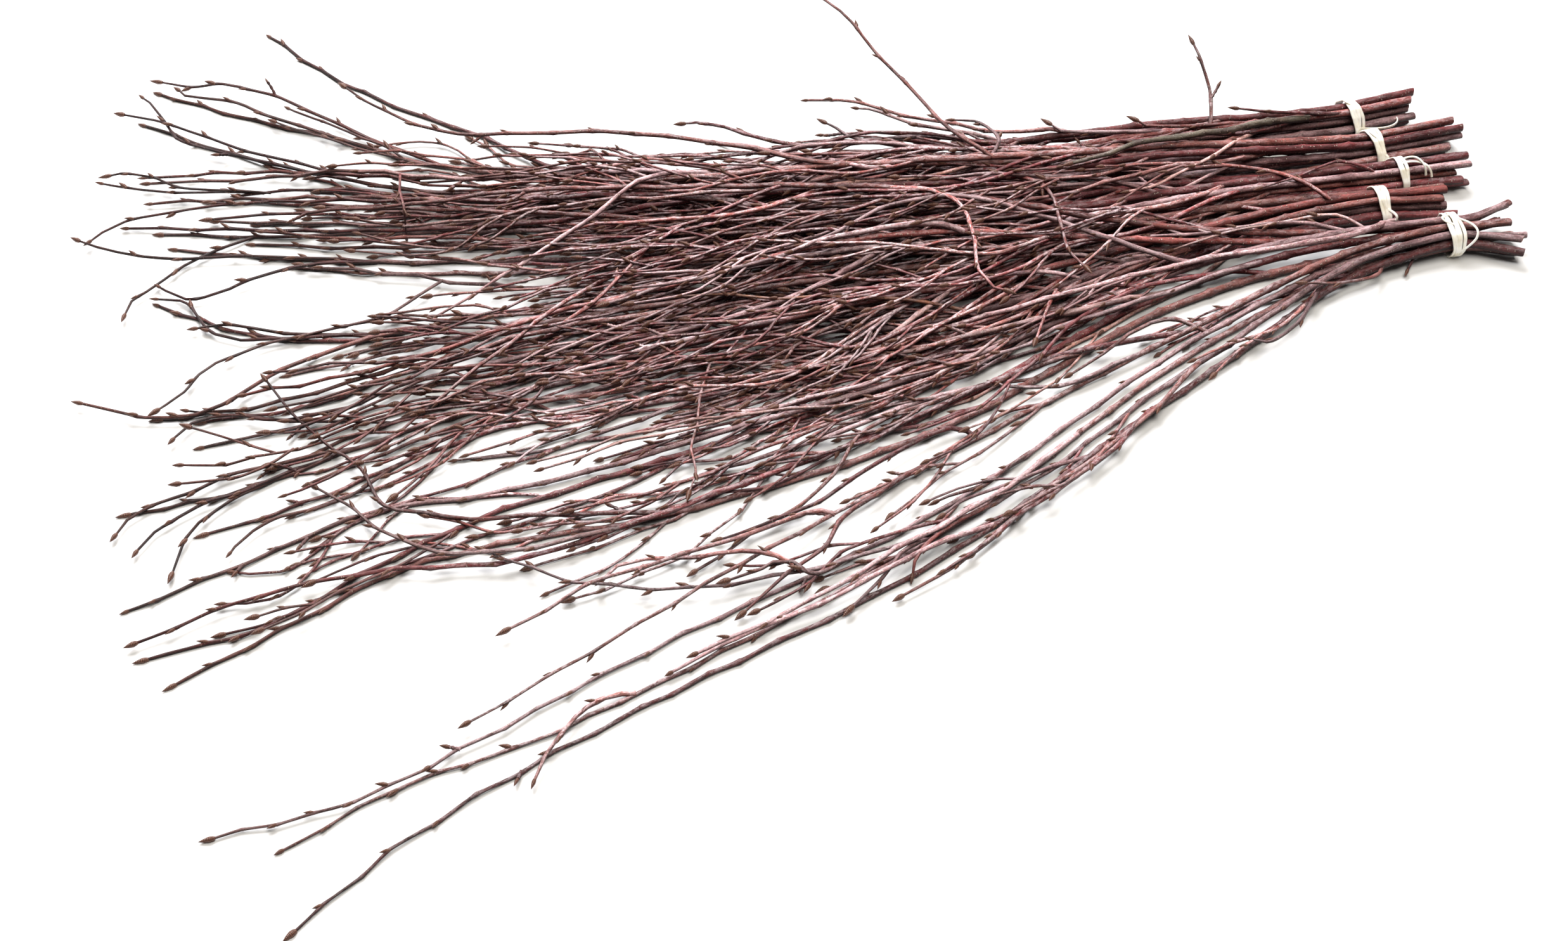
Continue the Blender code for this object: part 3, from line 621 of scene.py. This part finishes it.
def branch_line(parent, s0, length, side, rng, heap, rise):
    """The line of a side twig that leaves its parent at an angle and then runs along with it."""
    u = np.linspace(0, length, max(FEWEST_POINTS, int(length / BRANCH_STEP)))
    first = math.tan(math.radians(rng.uniform(*BRANCH_ANGLE)))
    later = math.tan(math.radians(rng.uniform(*DRIFT_ANGLE)))
    fade = rng.uniform(*ANGLE_FADE)
    offset = later * u + (first - later) * fade * (1 - np.exp(-u / fade))
    swing = rng.uniform(*BRANCH_WAVE)
    wave = swing * np.sin(2 * math.pi * u / rng.uniform(*WAVE_LENGTH) + rng.uniform(*PHASE))
    offset = side * (offset + wave * np.minimum(u / WAVE_EASE, 1))
    s = s0 + u * BRANCH_PACE
    path = parent.at(s) + offset[:, None] * parent.sideways(s)
    eased = np.minimum(u / RISE_EASE, 1)
    path[:, 2] += rise * eased**2 * (3 - 2 * eased)
    thick = max(parent.radius(s0) * rng.uniform(*BRANCH_THICKNESS), THINNEST_FOOT)
    radii = THIN_TIP + (thick - THIN_TIP) * (1 - u / length) ** TAPER
    for i in range(2, len(u)):
        roof = heap.top_at(path[i, 0], path[i, 1]) + ABOVE_HEAP
        path[i, 2] = min(max(path[i, 2], radii[i] + ABOVE_FLOOR), max(roof, radii[i] + ROOM_ON_FLOOR))
    smooth = path[:, 2].copy()
    for _ in range(SMOOTHING):
        smooth[1:-1] = (smooth[:-2] + 2 * smooth[1:-1] + smooth[2:]) / 4
    path[2:, 2] = np.maximum(smooth[2:], radii[2:] + ABOVE_FLOOR)
    return Line(path, radii, dense=4)


def overshoot(line, heap, group):
    """How far a line strays outside the group of stems that it grows in."""
    worst = 0
    for point in line.points[::CHECKED_EVERY]:
        edges = heap.edges_at(point[0], group)
        if edges:
            worst = max(worst, edges[0] - EDGE_SLACK - point[1], point[1] - edges[1] - EDGE_SLACK)
    return worst


def best_branch(line, heap, group, s0, reach, rng):
    """The first of a few tries at a side twig that stays in its group, or else the nearest, and its stray."""
    best = None
    for _ in range(BRANCH_TRIES):
        side = rng.choice((-1, 1))
        length = min(rng.uniform(*reach), rng.uniform(*BRANCH_END) * line.length - s0)
        if length < SHORTEST_BRANCH:
            continue
        made = branch_line(line, s0, length, side, rng, heap, rng.uniform(*BRANCH_RISE))
        miss = overshoot(made, heap, group)
        if best is None or miss < best[0]:
            best = (miss, made)
        if miss == 0:
            break
    return best


def grow_stem(growth, name, heap, group, plan, rng, slim=1.0):
    """A stem of the frame with its side twigs, and their side twigs."""
    line = heap.lines[name]
    count, starts, reach = plan
    brightness, stray = (STEM_BRIGHTNESS, STRAY) if slim == 1.0 else (FRONT_BRIGHTNESS, FRONT_STRAY)
    tint = shade_of(NAMED_SHADES.get(name) or rng.choice(STEM_SHADES), rng, brightness)
    grow_twig(growth, line, STEM, rng, tint, slim)
    for share in sorted(rng.uniform(*starts) for _ in range(count)):
        best = best_branch(line, heap, group, share * line.length, reach, rng)
        if best is None or best[0] > stray:
            continue
        branch = best[1]
        shade = shade_of(rng.choice(THIN_SHADES), rng)
        grow_twig(growth, branch, BRANCH, rng, shade)
        for _ in range(rng.choice(TWIG_COUNTS)):
            start = rng.uniform(*TWIG_START) * branch.length
            short = min(rng.uniform(*TWIG_LENGTH), branch.length - start)
            if short < SHORTEST_BRANCH / 2:
                continue
            side, rise = rng.choice((-1, 1)), rng.uniform(*TWIG_RISE)
            twig = branch_line(branch, start, short, side, rng, heap, rise)
            if overshoot(twig, heap, group) <= stray:
                grow_twig(growth, twig, TWIG, rng, shade)


def seen_line(heap, height, pixels, thick=None):
    """The line of a twig that shows in the photo, from the stem that it grows from."""
    owner, foot = heap.nearest_seen(*pixels[0])
    steps = np.concatenate([[0], np.cumsum([math.dist(a, b) for a, b in zip(pixels, pixels[1:])])])
    path = [foot[:3]]
    for (px, py), share in zip(pixels[1:], steps[1:] / steps[-1]):
        z = foot[2] + (height - foot[2]) * share
        point = seen_at(px, py, z)
        for _ in range(LIFT_ROUNDS):
            roof = heap.top_at(point[0], point[1])
            point = seen_at(px, py, max(z, roof + (thick or SEEN_LIFT) if roof > 0 else 0))
        path.append(point)
    path = np.array(path)
    heights = path[:, 2].copy()
    for _ in range(EASING_ROUNDS):
        heights[1:-1] = np.maximum(heights[1:-1], (heights[:-2] + heights[2:]) / 2)
    for i, (px, py) in enumerate(pixels[1:], 1):
        path[i] = seen_at(px, py, heights[i])
    long = np.linalg.norm(np.diff(path, axis=0), axis=1).sum()
    share = np.linspace(0, 1, len(path))
    if thick:
        return owner, Line(path, thick * (1 - OVER_TAPER * share))
    slim = min(SEEN_FOOT + long * SEEN_PER_METRE, foot[3] * SEEN_SHARE)
    return owner, Line(path, THIN_TIP + (slim - THIN_TIP) * (1 - share) ** TAPER)


class Paint:
    """A material and short ways to add nodes to it."""

    def __init__(self, name):
        self.look = bpy.data.materials.new(name)
        self.look.use_nodes = True
        self.nodes, self.links = self.look.node_tree.nodes, self.look.node_tree.links
        self.inputs = self.nodes["Principled BSDF"].inputs

    def feed(self, value, socket):
        """Link another node's output to a socket, or set the socket to a constant."""
        if isinstance(value, bpy.types.NodeSocket):
            self.links.new(value, socket)
        else:
            socket.default_value = (*value, 1) if socket.type == "RGBA" else value

    def add(self, kind, **inputs):
        """A new node of a kind, with its inputs by name, an underscore for each space."""
        made = self.nodes.new("ShaderNode" + kind)
        for name, value in inputs.items():
            self.feed(value, made.inputs[name.replace("_", " ")])
        return made

    def uv(self):
        made = self.add("UVMap")
        made.uv_map = "bark"
        return made.outputs["UV"]

    def place(self):
        return self.add("TexCoord").outputs["Object"]

    def parts(self, vector):
        return self.add("SeparateXYZ", Vector=vector).outputs

    def stretched(self, vector, scale):
        return self.add("Mapping", Vector=vector, Scale=scale).outputs["Vector"]

    def noise(self, vector, scale=1.0, detail=3.0, rough=0.6):
        made = self.add("TexNoise", Vector=vector, Scale=scale, Detail=detail, Roughness=rough)
        return made.outputs["Fac"]

    def band(self, value, low, high):
        """Zero at low, one at high, and even between."""
        return self.add("MapRange", Value=value, From_Min=low, From_Max=high).outputs["Result"]

    def ramp(self, factor, stops):
        made = self.add("ValToRGB", Fac=factor)
        elements = made.color_ramp.elements
        while len(elements) < len(stops):
            elements.new(0.5)
        for element, (place, colour) in zip(elements, stops):
            element.position = place
            element.color = (*colour, 1)
        return made.outputs["Color"]

    def mix(self, factor, a, b, blend="MIX"):
        made = self.add("Mix")
        made.data_type = "RGBA"
        made.blend_type = blend
        for value, socket in ((factor, made.inputs[0]), (a, made.inputs[6]), (b, made.inputs[7])):
            self.feed(value, socket)
        return made.outputs[2]

    def tinted(self, colour, tint):
        return self.mix(1.0, colour, tint, "MULTIPLY")

    def maths(self, operation, *values):
        made = self.add("Math")
        made.operation = operation
        for value, socket in zip(values, made.inputs):
            self.feed(value, socket)
        return made.outputs["Value"]

    def times(self, a, b):
        return self.maths("MULTIPLY", a, b)

    def finish(self, colour, rough, height, strength, depth):
        """Give the surface its colour, its roughness and its relief."""
        self.feed(colour, self.inputs["Base Color"])
        self.feed(rough, self.inputs["Roughness"])
        bump = self.add("Bump", Strength=strength, Distance=depth, Height=height)
        self.links.new(bump.outputs["Normal"], self.inputs["Normal"])


# The bark's colours and its pattern's scales around and along a twig, each per millimetre
BARK_RANGE = (
    (0.00, (0.215, 0.042, 0.046)),
    (0.20, (0.335, 0.090, 0.077)),
    (0.40, (0.310, 0.118, 0.100)),
    (0.60, (0.380, 0.225, 0.235)),
    (0.78, (0.640, 0.440, 0.460)),
    (0.86, (0.540, 0.220, 0.110)),
    (0.95, (0.220, 0.190, 0.140)),
)
BARK_PATCH, BARK_WARM, BARK_YOUNG = (0.36, 0.26, 0.26), (1.62, 1.30, 1.27), (1.08, 0.86, 0.74)
# the first colour is the pale bloom and also a painted sheen on the twigs' upper sides
BLOOM_AND_SHEEN, LENTICEL = (0.90, 0.72, 0.75), (0.86, 0.67, 0.56)
PATCH_SCALE, STREAK_SCALE, FINE_SCALE = (0.24, 0.055, 1), (1.1, 0.07, 1), (0.50, 0.18, 1)
LENTICEL_SCALE, SPECKLE_SCALE = (0.42, 0.62, 1), (1.2, 0.7, 1)


def bark_look():
    """Red-brown birch bark with pale mottles and a painted sheen on top, lenticels and wrinkles, a painted
    shade below, warmer at the tips.
    """
    paint = Paint("bark")
    uv, place = paint.uv(), paint.place()
    tint = paint.add("Attribute")
    tint.attribute_name = "tint"
    shade, bloom_and_sheen_share, bright = paint.parts(tint.outputs["Vector"])
    facing_up = paint.parts(paint.add("NewGeometry").outputs["Normal"])["Z"]
    # dark patches and warm streaks
    colour = paint.ramp(shade, BARK_RANGE)
    patches = paint.noise(paint.stretched(uv, PATCH_SCALE), detail=4)
    colour = paint.mix(paint.band(patches, 0.56, 0.40), colour, paint.tinted(colour, BARK_PATCH))
    streaks = paint.noise(paint.stretched(uv, STREAK_SCALE), detail=4)
    colour = paint.mix(paint.band(streaks, 0.50, 0.70), colour, paint.tinted(colour, BARK_WARM))
    # a pale bloom in worn spots, with a painted sheen: most of it on the upper side, where the light falls
    fine = paint.noise(paint.stretched(uv, FINE_SCALE), detail=5, rough=0.75)
    worn = paint.band(paint.noise(place, 14.0, 4), 0.32, 0.50)
    bloom_and_sheen = paint.times(worn, paint.band(fine, 0.44, 0.56))
    top = paint.band(facing_up, 0.10, 0.85)
    bloom_and_sheen = paint.times(bloom_and_sheen, paint.maths("MULTIPLY_ADD", top, 0.85, 0.08))
    colour = paint.mix(paint.times(bloom_and_sheen, bloom_and_sheen_share), colour, BLOOM_AND_SHEEN)
    # lenticels in some cells of a pattern
    dots = paint.add("TexVoronoi", Vector=paint.stretched(uv, LENTICEL_SCALE), Scale=1.0)
    chosen = paint.add("SeparateColor", Color=dots.outputs["Color"]).outputs[0]
    spot = paint.band(dots.outputs["Distance"], 0.26, 0.14)
    spot = paint.times(spot, paint.band(chosen, 0.50, 0.54))
    colour = paint.mix(paint.times(spot, 0.9), colour, LENTICEL)
    # warmer at the tips, a painted shade on the lower side, and speckled all over
    tips = paint.band(paint.parts(place)["X"], -TIPS_FROM, -TIPS_TO)
    colour = paint.mix(tips, colour, paint.tinted(colour, BARK_YOUNG))
    painted_shade_below = paint.band(facing_up, -0.35, 0.70)
    lit = paint.times(bright, paint.maths("MULTIPLY_ADD", painted_shade_below, 0.92, 0.08))
    speckle = paint.noise(paint.stretched(uv, SPECKLE_SCALE), detail=2)
    lit = paint.times(lit, paint.maths("MULTIPLY_ADD", speckle, 1.8, 0.12))
    colour = paint.tinted(colour, lit)
    wrinkles = paint.maths("ADD", paint.times(streaks, 0.8), spot)
    wrinkles = paint.maths("MULTIPLY_ADD", fine, 0.7, wrinkles)
    rough = paint.ramp(fine, [(0.3, (0.32,) * 3), (0.75, (0.60,) * 3)])
    paint.inputs["Specular IOR Level"].default_value = 0.3
    paint.finish(colour, rough, wrinkles, 0.9, 0.0008)
    return paint.look


def bud_look():
    """Brown bud scales with darker edges."""
    paint = Paint("bud")
    uv = paint.uv()
    speck = paint.noise(uv, 1.3, 3)
    colour = paint.ramp(speck, [(0.35, (0.050, 0.018, 0.012)), (0.68, (0.200, 0.080, 0.046))])
    scales = paint.add("TexWave", Vector=uv, Scale=0.32, Distortion=2.0)
    scales.bands_direction = "Y"
    edge = paint.band(scales.outputs["Fac"], 0.25, 0.05)
    colour = paint.mix(paint.times(edge, 0.6), colour, (0.035, 0.014, 0.010))
    paint.finish(colour, 0.42, scales.outputs["Fac"], 0.5, 0.0003)
    return paint.look


def cut_look():
    """The cut ends: brown weathered wood, pale in places."""
    paint = Paint("cut_wood")
    place = paint.place()
    grain = paint.noise(place, 700.0, 4)
    patch = paint.noise(place, 70.0, 2)
    wood = paint.ramp(grain, [(0.35, (0.110, 0.045, 0.036)), (0.65, (0.270, 0.130, 0.095))])
    pale = paint.ramp(grain, [(0.35, (0.420, 0.235, 0.130)), (0.65, (0.640, 0.430, 0.270))])
    paint.feed(paint.mix(paint.band(patch, 0.60, 0.66), wood, pale), paint.inputs["Base Color"])
    paint.inputs["Roughness"].default_value = 0.8
    return paint.look


def tie_look():
    """Cream elastic, slightly see-through, with fine ribs along it."""
    paint = Paint("tie")
    ribs = paint.noise(paint.stretched(paint.uv(), (2.6, 0.05, 1)))
    stain = paint.noise(paint.place(), 120.0)
    colour = paint.ramp(stain, [(0.30, (0.78, 0.72, 0.56)), (0.58, (0.95, 0.93, 0.86))])
    paint.inputs["Subsurface Weight"].default_value = 0.15
    paint.inputs["Subsurface Radius"].default_value = (0.0012, 0.0010, 0.0007)
    paint.finish(colour, 0.5, ribs, 0.5, 0.0003)
    return paint.look


def floor_look():
    paint = Paint("floor")
    grain = paint.noise(paint.place(), 3.0, 2)
    colour = paint.ramp(grain, [(0.3, (0.74, 0.74, 0.74)), (0.7, (0.76, 0.76, 0.76))])
    paint.feed(colour, paint.inputs["Base Color"])
    paint.inputs["Roughness"].default_value = 0.9
    paint.inputs["Specular IOR Level"].default_value = 0.1
    return paint.look


# Loose loops of the ties: the angles around the band, from the back over the top to the front, where they
# begin and end, how far they reach along the bundle and away from the band, and whether they end loose
TIE_LOOPS = {
    "bundle_1_tie": [(55, 100, -0.0045, 0.0012, False), (180, 172, 0.0260, 0.0050, True)],
    "bundle_2_tie": [(60, 110, -0.0035, 0.0010, False), (160, 200, 0.0040, 0.0012, False)],
    "bundle_3_tie": [(80, 150, 0.0130, 0.0030, True), (95, 158, 0.0165, 0.0020, True)],
    "bundle_4_tie": [(150, 195, 0.0060, 0.0020, False)],
    "bundle_5_tie": [(72, 198, 0.0110, 0.0022, False), (60, 100, -0.0070, 0.0012, False)],
}
TURNS = {"bundle_1_tie": 4, "bundle_2_tie": 4, "bundle_3_tie": 3, "bundle_4_tie": 4, "bundle_5_tie": 5}
TURN_SPACING, TURN_POINTS, LOOP_POINTS = 0.0013, 84, 26
TURN_SLANT, TURN_LEAN, LOOP_LEAN = -0.0010, 0.25, 0.4
FAN = (0.35, 0.15)  # how the turns spread apart on one side and close up on the other
WANDER = (0.0005, 0.0003)
TURN_DEPTH, TURN_RISE = 0.0004, 0.00045  # below the outer side of the frame's band
STRAND_WIDTH, STRAND_THICK = 0.0021, 0.0010
LOOP_WIDTH, LOOP_THICK = STRAND_WIDTH * 0.75, STRAND_THICK * 0.8
STRAND_CORNERS, STRAND_ROUNDNESS, STRAND_CLEAR_OF_FLOOR = 10, 0.6, 0.00005
STRAND_PATTERN, STRAND_START = 12, 90  # width of the ribs' pattern, and how far it may be shifted


class TieShape:
    """The outline of a tie of the frame, in the plane across its bundle."""

    GRAZING = 0.25  # sides turned further away than this don't count

    def __init__(self, node):
        points = np.array([v.co[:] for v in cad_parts[node].data.vertices])
        self.middle = (points.min(0) + points.max(0)) / 2
        offset = points - points.mean(0)
        _, vectors = np.linalg.eigh(offset.T @ offset)
        axis = vectors[:, 0]
        self.axis = unit(np.array([axis[0], axis[1], 0])) * (1 if axis[0] > 0 else -1)
        self.across = np.cross(UP, self.axis)
        y = (points - self.middle) @ self.across
        z = points[:, 2] - self.middle[2]
        self.normals = np.linspace(0, 2 * math.pi, TIE_SIDES, endpoint=False) - math.pi / 2
        self.reach = np.array([(y * math.cos(a) + z * math.sin(a)).max() for a in self.normals])

    def radius(self, angle):
        """How far the outer side of the band is from its middle, at an angle."""
        facing = np.cos(angle[:, None] - self.normals[None])
        return np.where(facing > self.GRAZING, self.reach / np.maximum(facing, self.GRAZING), 1.0).min(1)

    def outward(self, angle):
        """Directions away from the middle, at angles around the band."""
        return np.cos(angle)[:, None] * self.across + np.sin(angle)[:, None] * UP

    def place(self, angle, inset, shift):
        """Points at angles around the band, inside its outer face, shifted along the bundle."""
        r = self.radius(angle) - inset
        return (
            self.middle
            + (r * np.cos(angle))[:, None] * self.across
            + (r * np.sin(angle))[:, None] * UP
            + np.asarray(shift)[:, None] * self.axis
        )


def strand(growth, path, outward, width, thick, rng, closed):
    """A flat elastic strand along a path, lying with its flat side to the outward directions."""
    tangent = np.roll(path, -1, 0) - np.roll(path, 1, 0) if closed else np.gradient(path, axis=0)
    tangent /= np.linalg.norm(tangent, axis=1, keepdims=True)
    flat = np.cross(tangent, outward)
    flat /= np.linalg.norm(flat, axis=1, keepdims=True)
    out = np.cross(flat, tangent)
    angle = np.linspace(0, 2 * math.pi, STRAND_CORNERS, endpoint=False)
    across = np.sign(np.cos(angle)) * np.abs(np.cos(angle)) ** STRAND_ROUNDNESS * width / 2
    rise = np.sign(np.sin(angle)) * np.abs(np.sin(angle)) ** STRAND_ROUNDNESS * thick / 2
    rings = path[:, None] + across[None, :, None] * flat[:, None] + rise[None, :, None] * out[:, None]
    rings[:, :, 2] = np.maximum(rings[:, :, 2], STRAND_CLEAR_OF_FLOOR)
    if closed:
        rings = np.concatenate([rings, rings[:1]])
    u = np.tile(np.linspace(0, STRAND_PATTERN, STRAND_CORNERS + 1), (len(rings), 1))
    u = u + rng.uniform(0, STRAND_START)
    base = growth.add_grid(rings, u, np.arange(len(rings)) * 1.0, 0, (0, 0, 1))
    if not closed:
        growth.add_fan(base[0].tolist(), 0)
        growth.add_fan(base[-1][::-1].tolist(), 0)


def wind_turn(growth, shape, spread, rng):
    """One closed turn of a tie, a little apart from its middle."""
    angle = np.linspace(0, 2 * math.pi, TURN_POINTS, endpoint=False)
    second_fan = FAN[1] * np.sin(2 * angle + rng.uniform(*PHASE))
    fan = spread * (1 + FAN[0] * np.sin(angle) + second_fan)
    wander = WANDER[0] * np.sin(angle + rng.uniform(*PHASE))
    wander = wander + WANDER[1] * np.sin(3 * angle + rng.uniform(*PHASE))
    inset = TURN_DEPTH - TURN_RISE * np.abs(np.sin(angle + rng.uniform(*PHASE)))
    slant = TURN_SLANT * (np.sin(angle) + np.cos(angle))
    path = shape.place(angle, inset, fan + wander + slant)
    outward = shape.outward(angle) + rng.uniform(-TURN_LEAN, TURN_LEAN) * shape.axis
    strand(growth, path, outward, STRAND_WIDTH, STRAND_THICK, rng, True)


def wind_tie(node, looks, rng):
    """An elastic band wound several times around a bundle, with its loose loops."""
    shape = TieShape(node)
    growth = Growth()
    for i in range(TURNS[node]):
        wind_turn(growth, shape, (i - (TURNS[node] - 1) / 2) * TURN_SPACING, rng)
    for first, last, along, away, loose in TIE_LOOPS[node]:
        t = np.linspace(0, 1, LOOP_POINTS)
        turn = np.radians(first + (last - first) * t ** (2 if loose else 1))
        reach = along * np.sin(math.pi * t * (0.5 if loose else 1))
        path = shape.place(turn, TURN_DEPTH - away * np.sin(math.pi * t), reach)
        outward = shape.outward(turn) + LOOP_LEAN * shape.axis
        strand(growth, path, outward, LOOP_WIDTH, LOOP_THICK, rng, False)
    piece = growth.make(node + "_wound", looks)
    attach(piece, "root")
    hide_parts(node)


def front_group(heap):
    """The stems that lie apart in front of the heap."""
    apart = []
    for name, line in heap.lines.items():
        y = np.interp(-GAP_PLACE[0], -line.points[:, 0], line.points[:, 1])
        if name.startswith("bundle_5_stem") and y < GAP_PLACE[1]:
            apart.append(name)
    return apart


def standing_line(line, heap):
    """The line of a side twig of the frame, from inside the stem that it grows from."""
    s = np.append(np.arange(FOOT_SKIPPED, line.length, FOOT_STEP), line.length)
    points = line.at(s)
    near = heap.samples[np.argmin(np.linalg.norm(heap.samples[:, :3] - points[0], axis=1))]
    start = near[:3] - unit(points[1] - points[0]) * near[3] * FOOT_DEPTH
    radii = line.radius(s)
    radii = np.concatenate([[radii[0] * FOOT_SWELLING], radii[1:]])
    return Line(np.vstack([start, points[1:]]), radii, dense=6)


def grow_frame_twigs():
    """The twig of each stem and side twig of the frame, by its name, and the heap that the stems make."""
    names = [n for n in sorted(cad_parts) if not n.endswith("tie")]
    lines = {n: frame_line(n) for n in names}
    stems = {n: line for n, line in lines.items() if "stem" in n}
    heap = Heap(stems)
    apart = front_group(heap)
    hindmost = max(stems, key=lambda n: stems[n].points[-1][1])
    main = [n for n in stems if n not in apart and n != hindmost]
    growths = {}
    for i, name in enumerate(names):
        rng = random.Random(STEM_SEED + i)
        growths[name] = Growth()
        if name in apart:
            grow_stem(growths[name], name, heap, apart, FRONT_PLAN, rng, APART_SLIM)
        elif name in stems:
            plan = BUNDLE_PLANS.get(name[:len("bundle_1")], BACK_PLAN)
            grow_stem(growths[name], name, heap, main, plan, rng)
        else:
            line = standing_line(lines[name], heap)
            grow_twig(growths[name], line, SEEN, rng, shade_of("brown", rng))
    return growths, heap


def grow_seen_twigs(growths, heap, rng):
    """The twigs that stand out in the photo, each on the stem that it grows from."""
    for label, (height, pixels) in SEEN_TWIGS.items():
        owner, line = seen_line(heap, height, pixels)
        over = label.startswith("over")
        named = "red" if over else rng.choice(THIN_SHADES)
        shade = shade_of(named, rng, THIN_BRIGHTNESS if over else SEEN_BRIGHTNESS)
        grow_twig(growths[owner], line, SEEN, rng, shade)
    for thick, shade, pixels in OVER_TWIGS.values():
        owner, line = seen_line(heap, 0.0, pixels, thick)
        grow_twig(growths[owner], line, OVER, rng, shade_of(shade, rng))


def build_twigs(looks):
    """One piece for each stem and side twig of the frame, with all that grows on it."""
    growths, heap = grow_frame_twigs()
    grow_seen_twigs(growths, heap, random.Random(SEEN_SEED))
    for name, growth in growths.items():
        piece = growth.make(name + "_twig", looks)
        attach(piece, "root")
        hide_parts(name)


def build_floor():
    mesh = bpy.data.meshes.new("floor")
    signs = ((-1, -1), (1, -1), (1, 1), (-1, 1))
    mesh.from_pydata([(x * FLOOR_REACH, y * FLOOR_REACH, 0) for x, y in signs], [], [range(4)])
    mesh.materials.append(floor_look())
    floor = bpy.data.objects.new("floor", mesh)
    bpy.context.scene.collection.objects.link(floor)


def area_light(name, place, size, power, colour):
    """A round soft light that faces the middle of the heap."""
    light = bpy.data.lights.new(name, "AREA")
    light.shape = "DISK"
    light.size = size
    light.energy = power
    light.color = colour
    made = bpy.data.objects.new(name, light)
    made.location = place
    made.rotation_euler = (-Vector(place)).to_track_quat("-Z", "Y").to_euler()
    bpy.context.scene.collection.objects.link(made)


def light_scene():
    scene = bpy.context.scene
    world = bpy.data.worlds.new("studio")
    world.use_nodes = True
    background = world.node_tree.nodes["Background"].inputs
    background["Color"].default_value = (*WORLD_COLOUR, 1)
    background["Strength"].default_value = WORLD_STRENGTH
    scene.world = world
    for name, light in LIGHTS.items():
        area_light(name, *light)
    scene.view_settings.view_transform = "Standard"
    scene.view_settings.look = "None"


def place_camera():
    camera = bpy.data.cameras.new("camera")
    camera.sensor_fit = "HORIZONTAL"
    camera.lens_unit = "FOV"
    camera.angle = VIEW_WIDTH
    camera.clip_start = 0.01
    made = bpy.data.objects.new("camera", camera)
    made.location = EYE
    made.rotation_euler = (math.pi / 2 - ELEVATION, 0, 0)
    bpy.context.scene.collection.objects.link(made)
    bpy.context.scene.camera = made


twig_looks = [bark_look(), bud_look(), cut_look()]
build_twigs(twig_looks)
tie_looks = [tie_look()]
for number, tie in enumerate(sorted(TIE_LOOPS)):
    wind_tie(tie, tie_looks, random.Random(TIE_SEED + number))
build_floor()
light_scene()
place_camera()
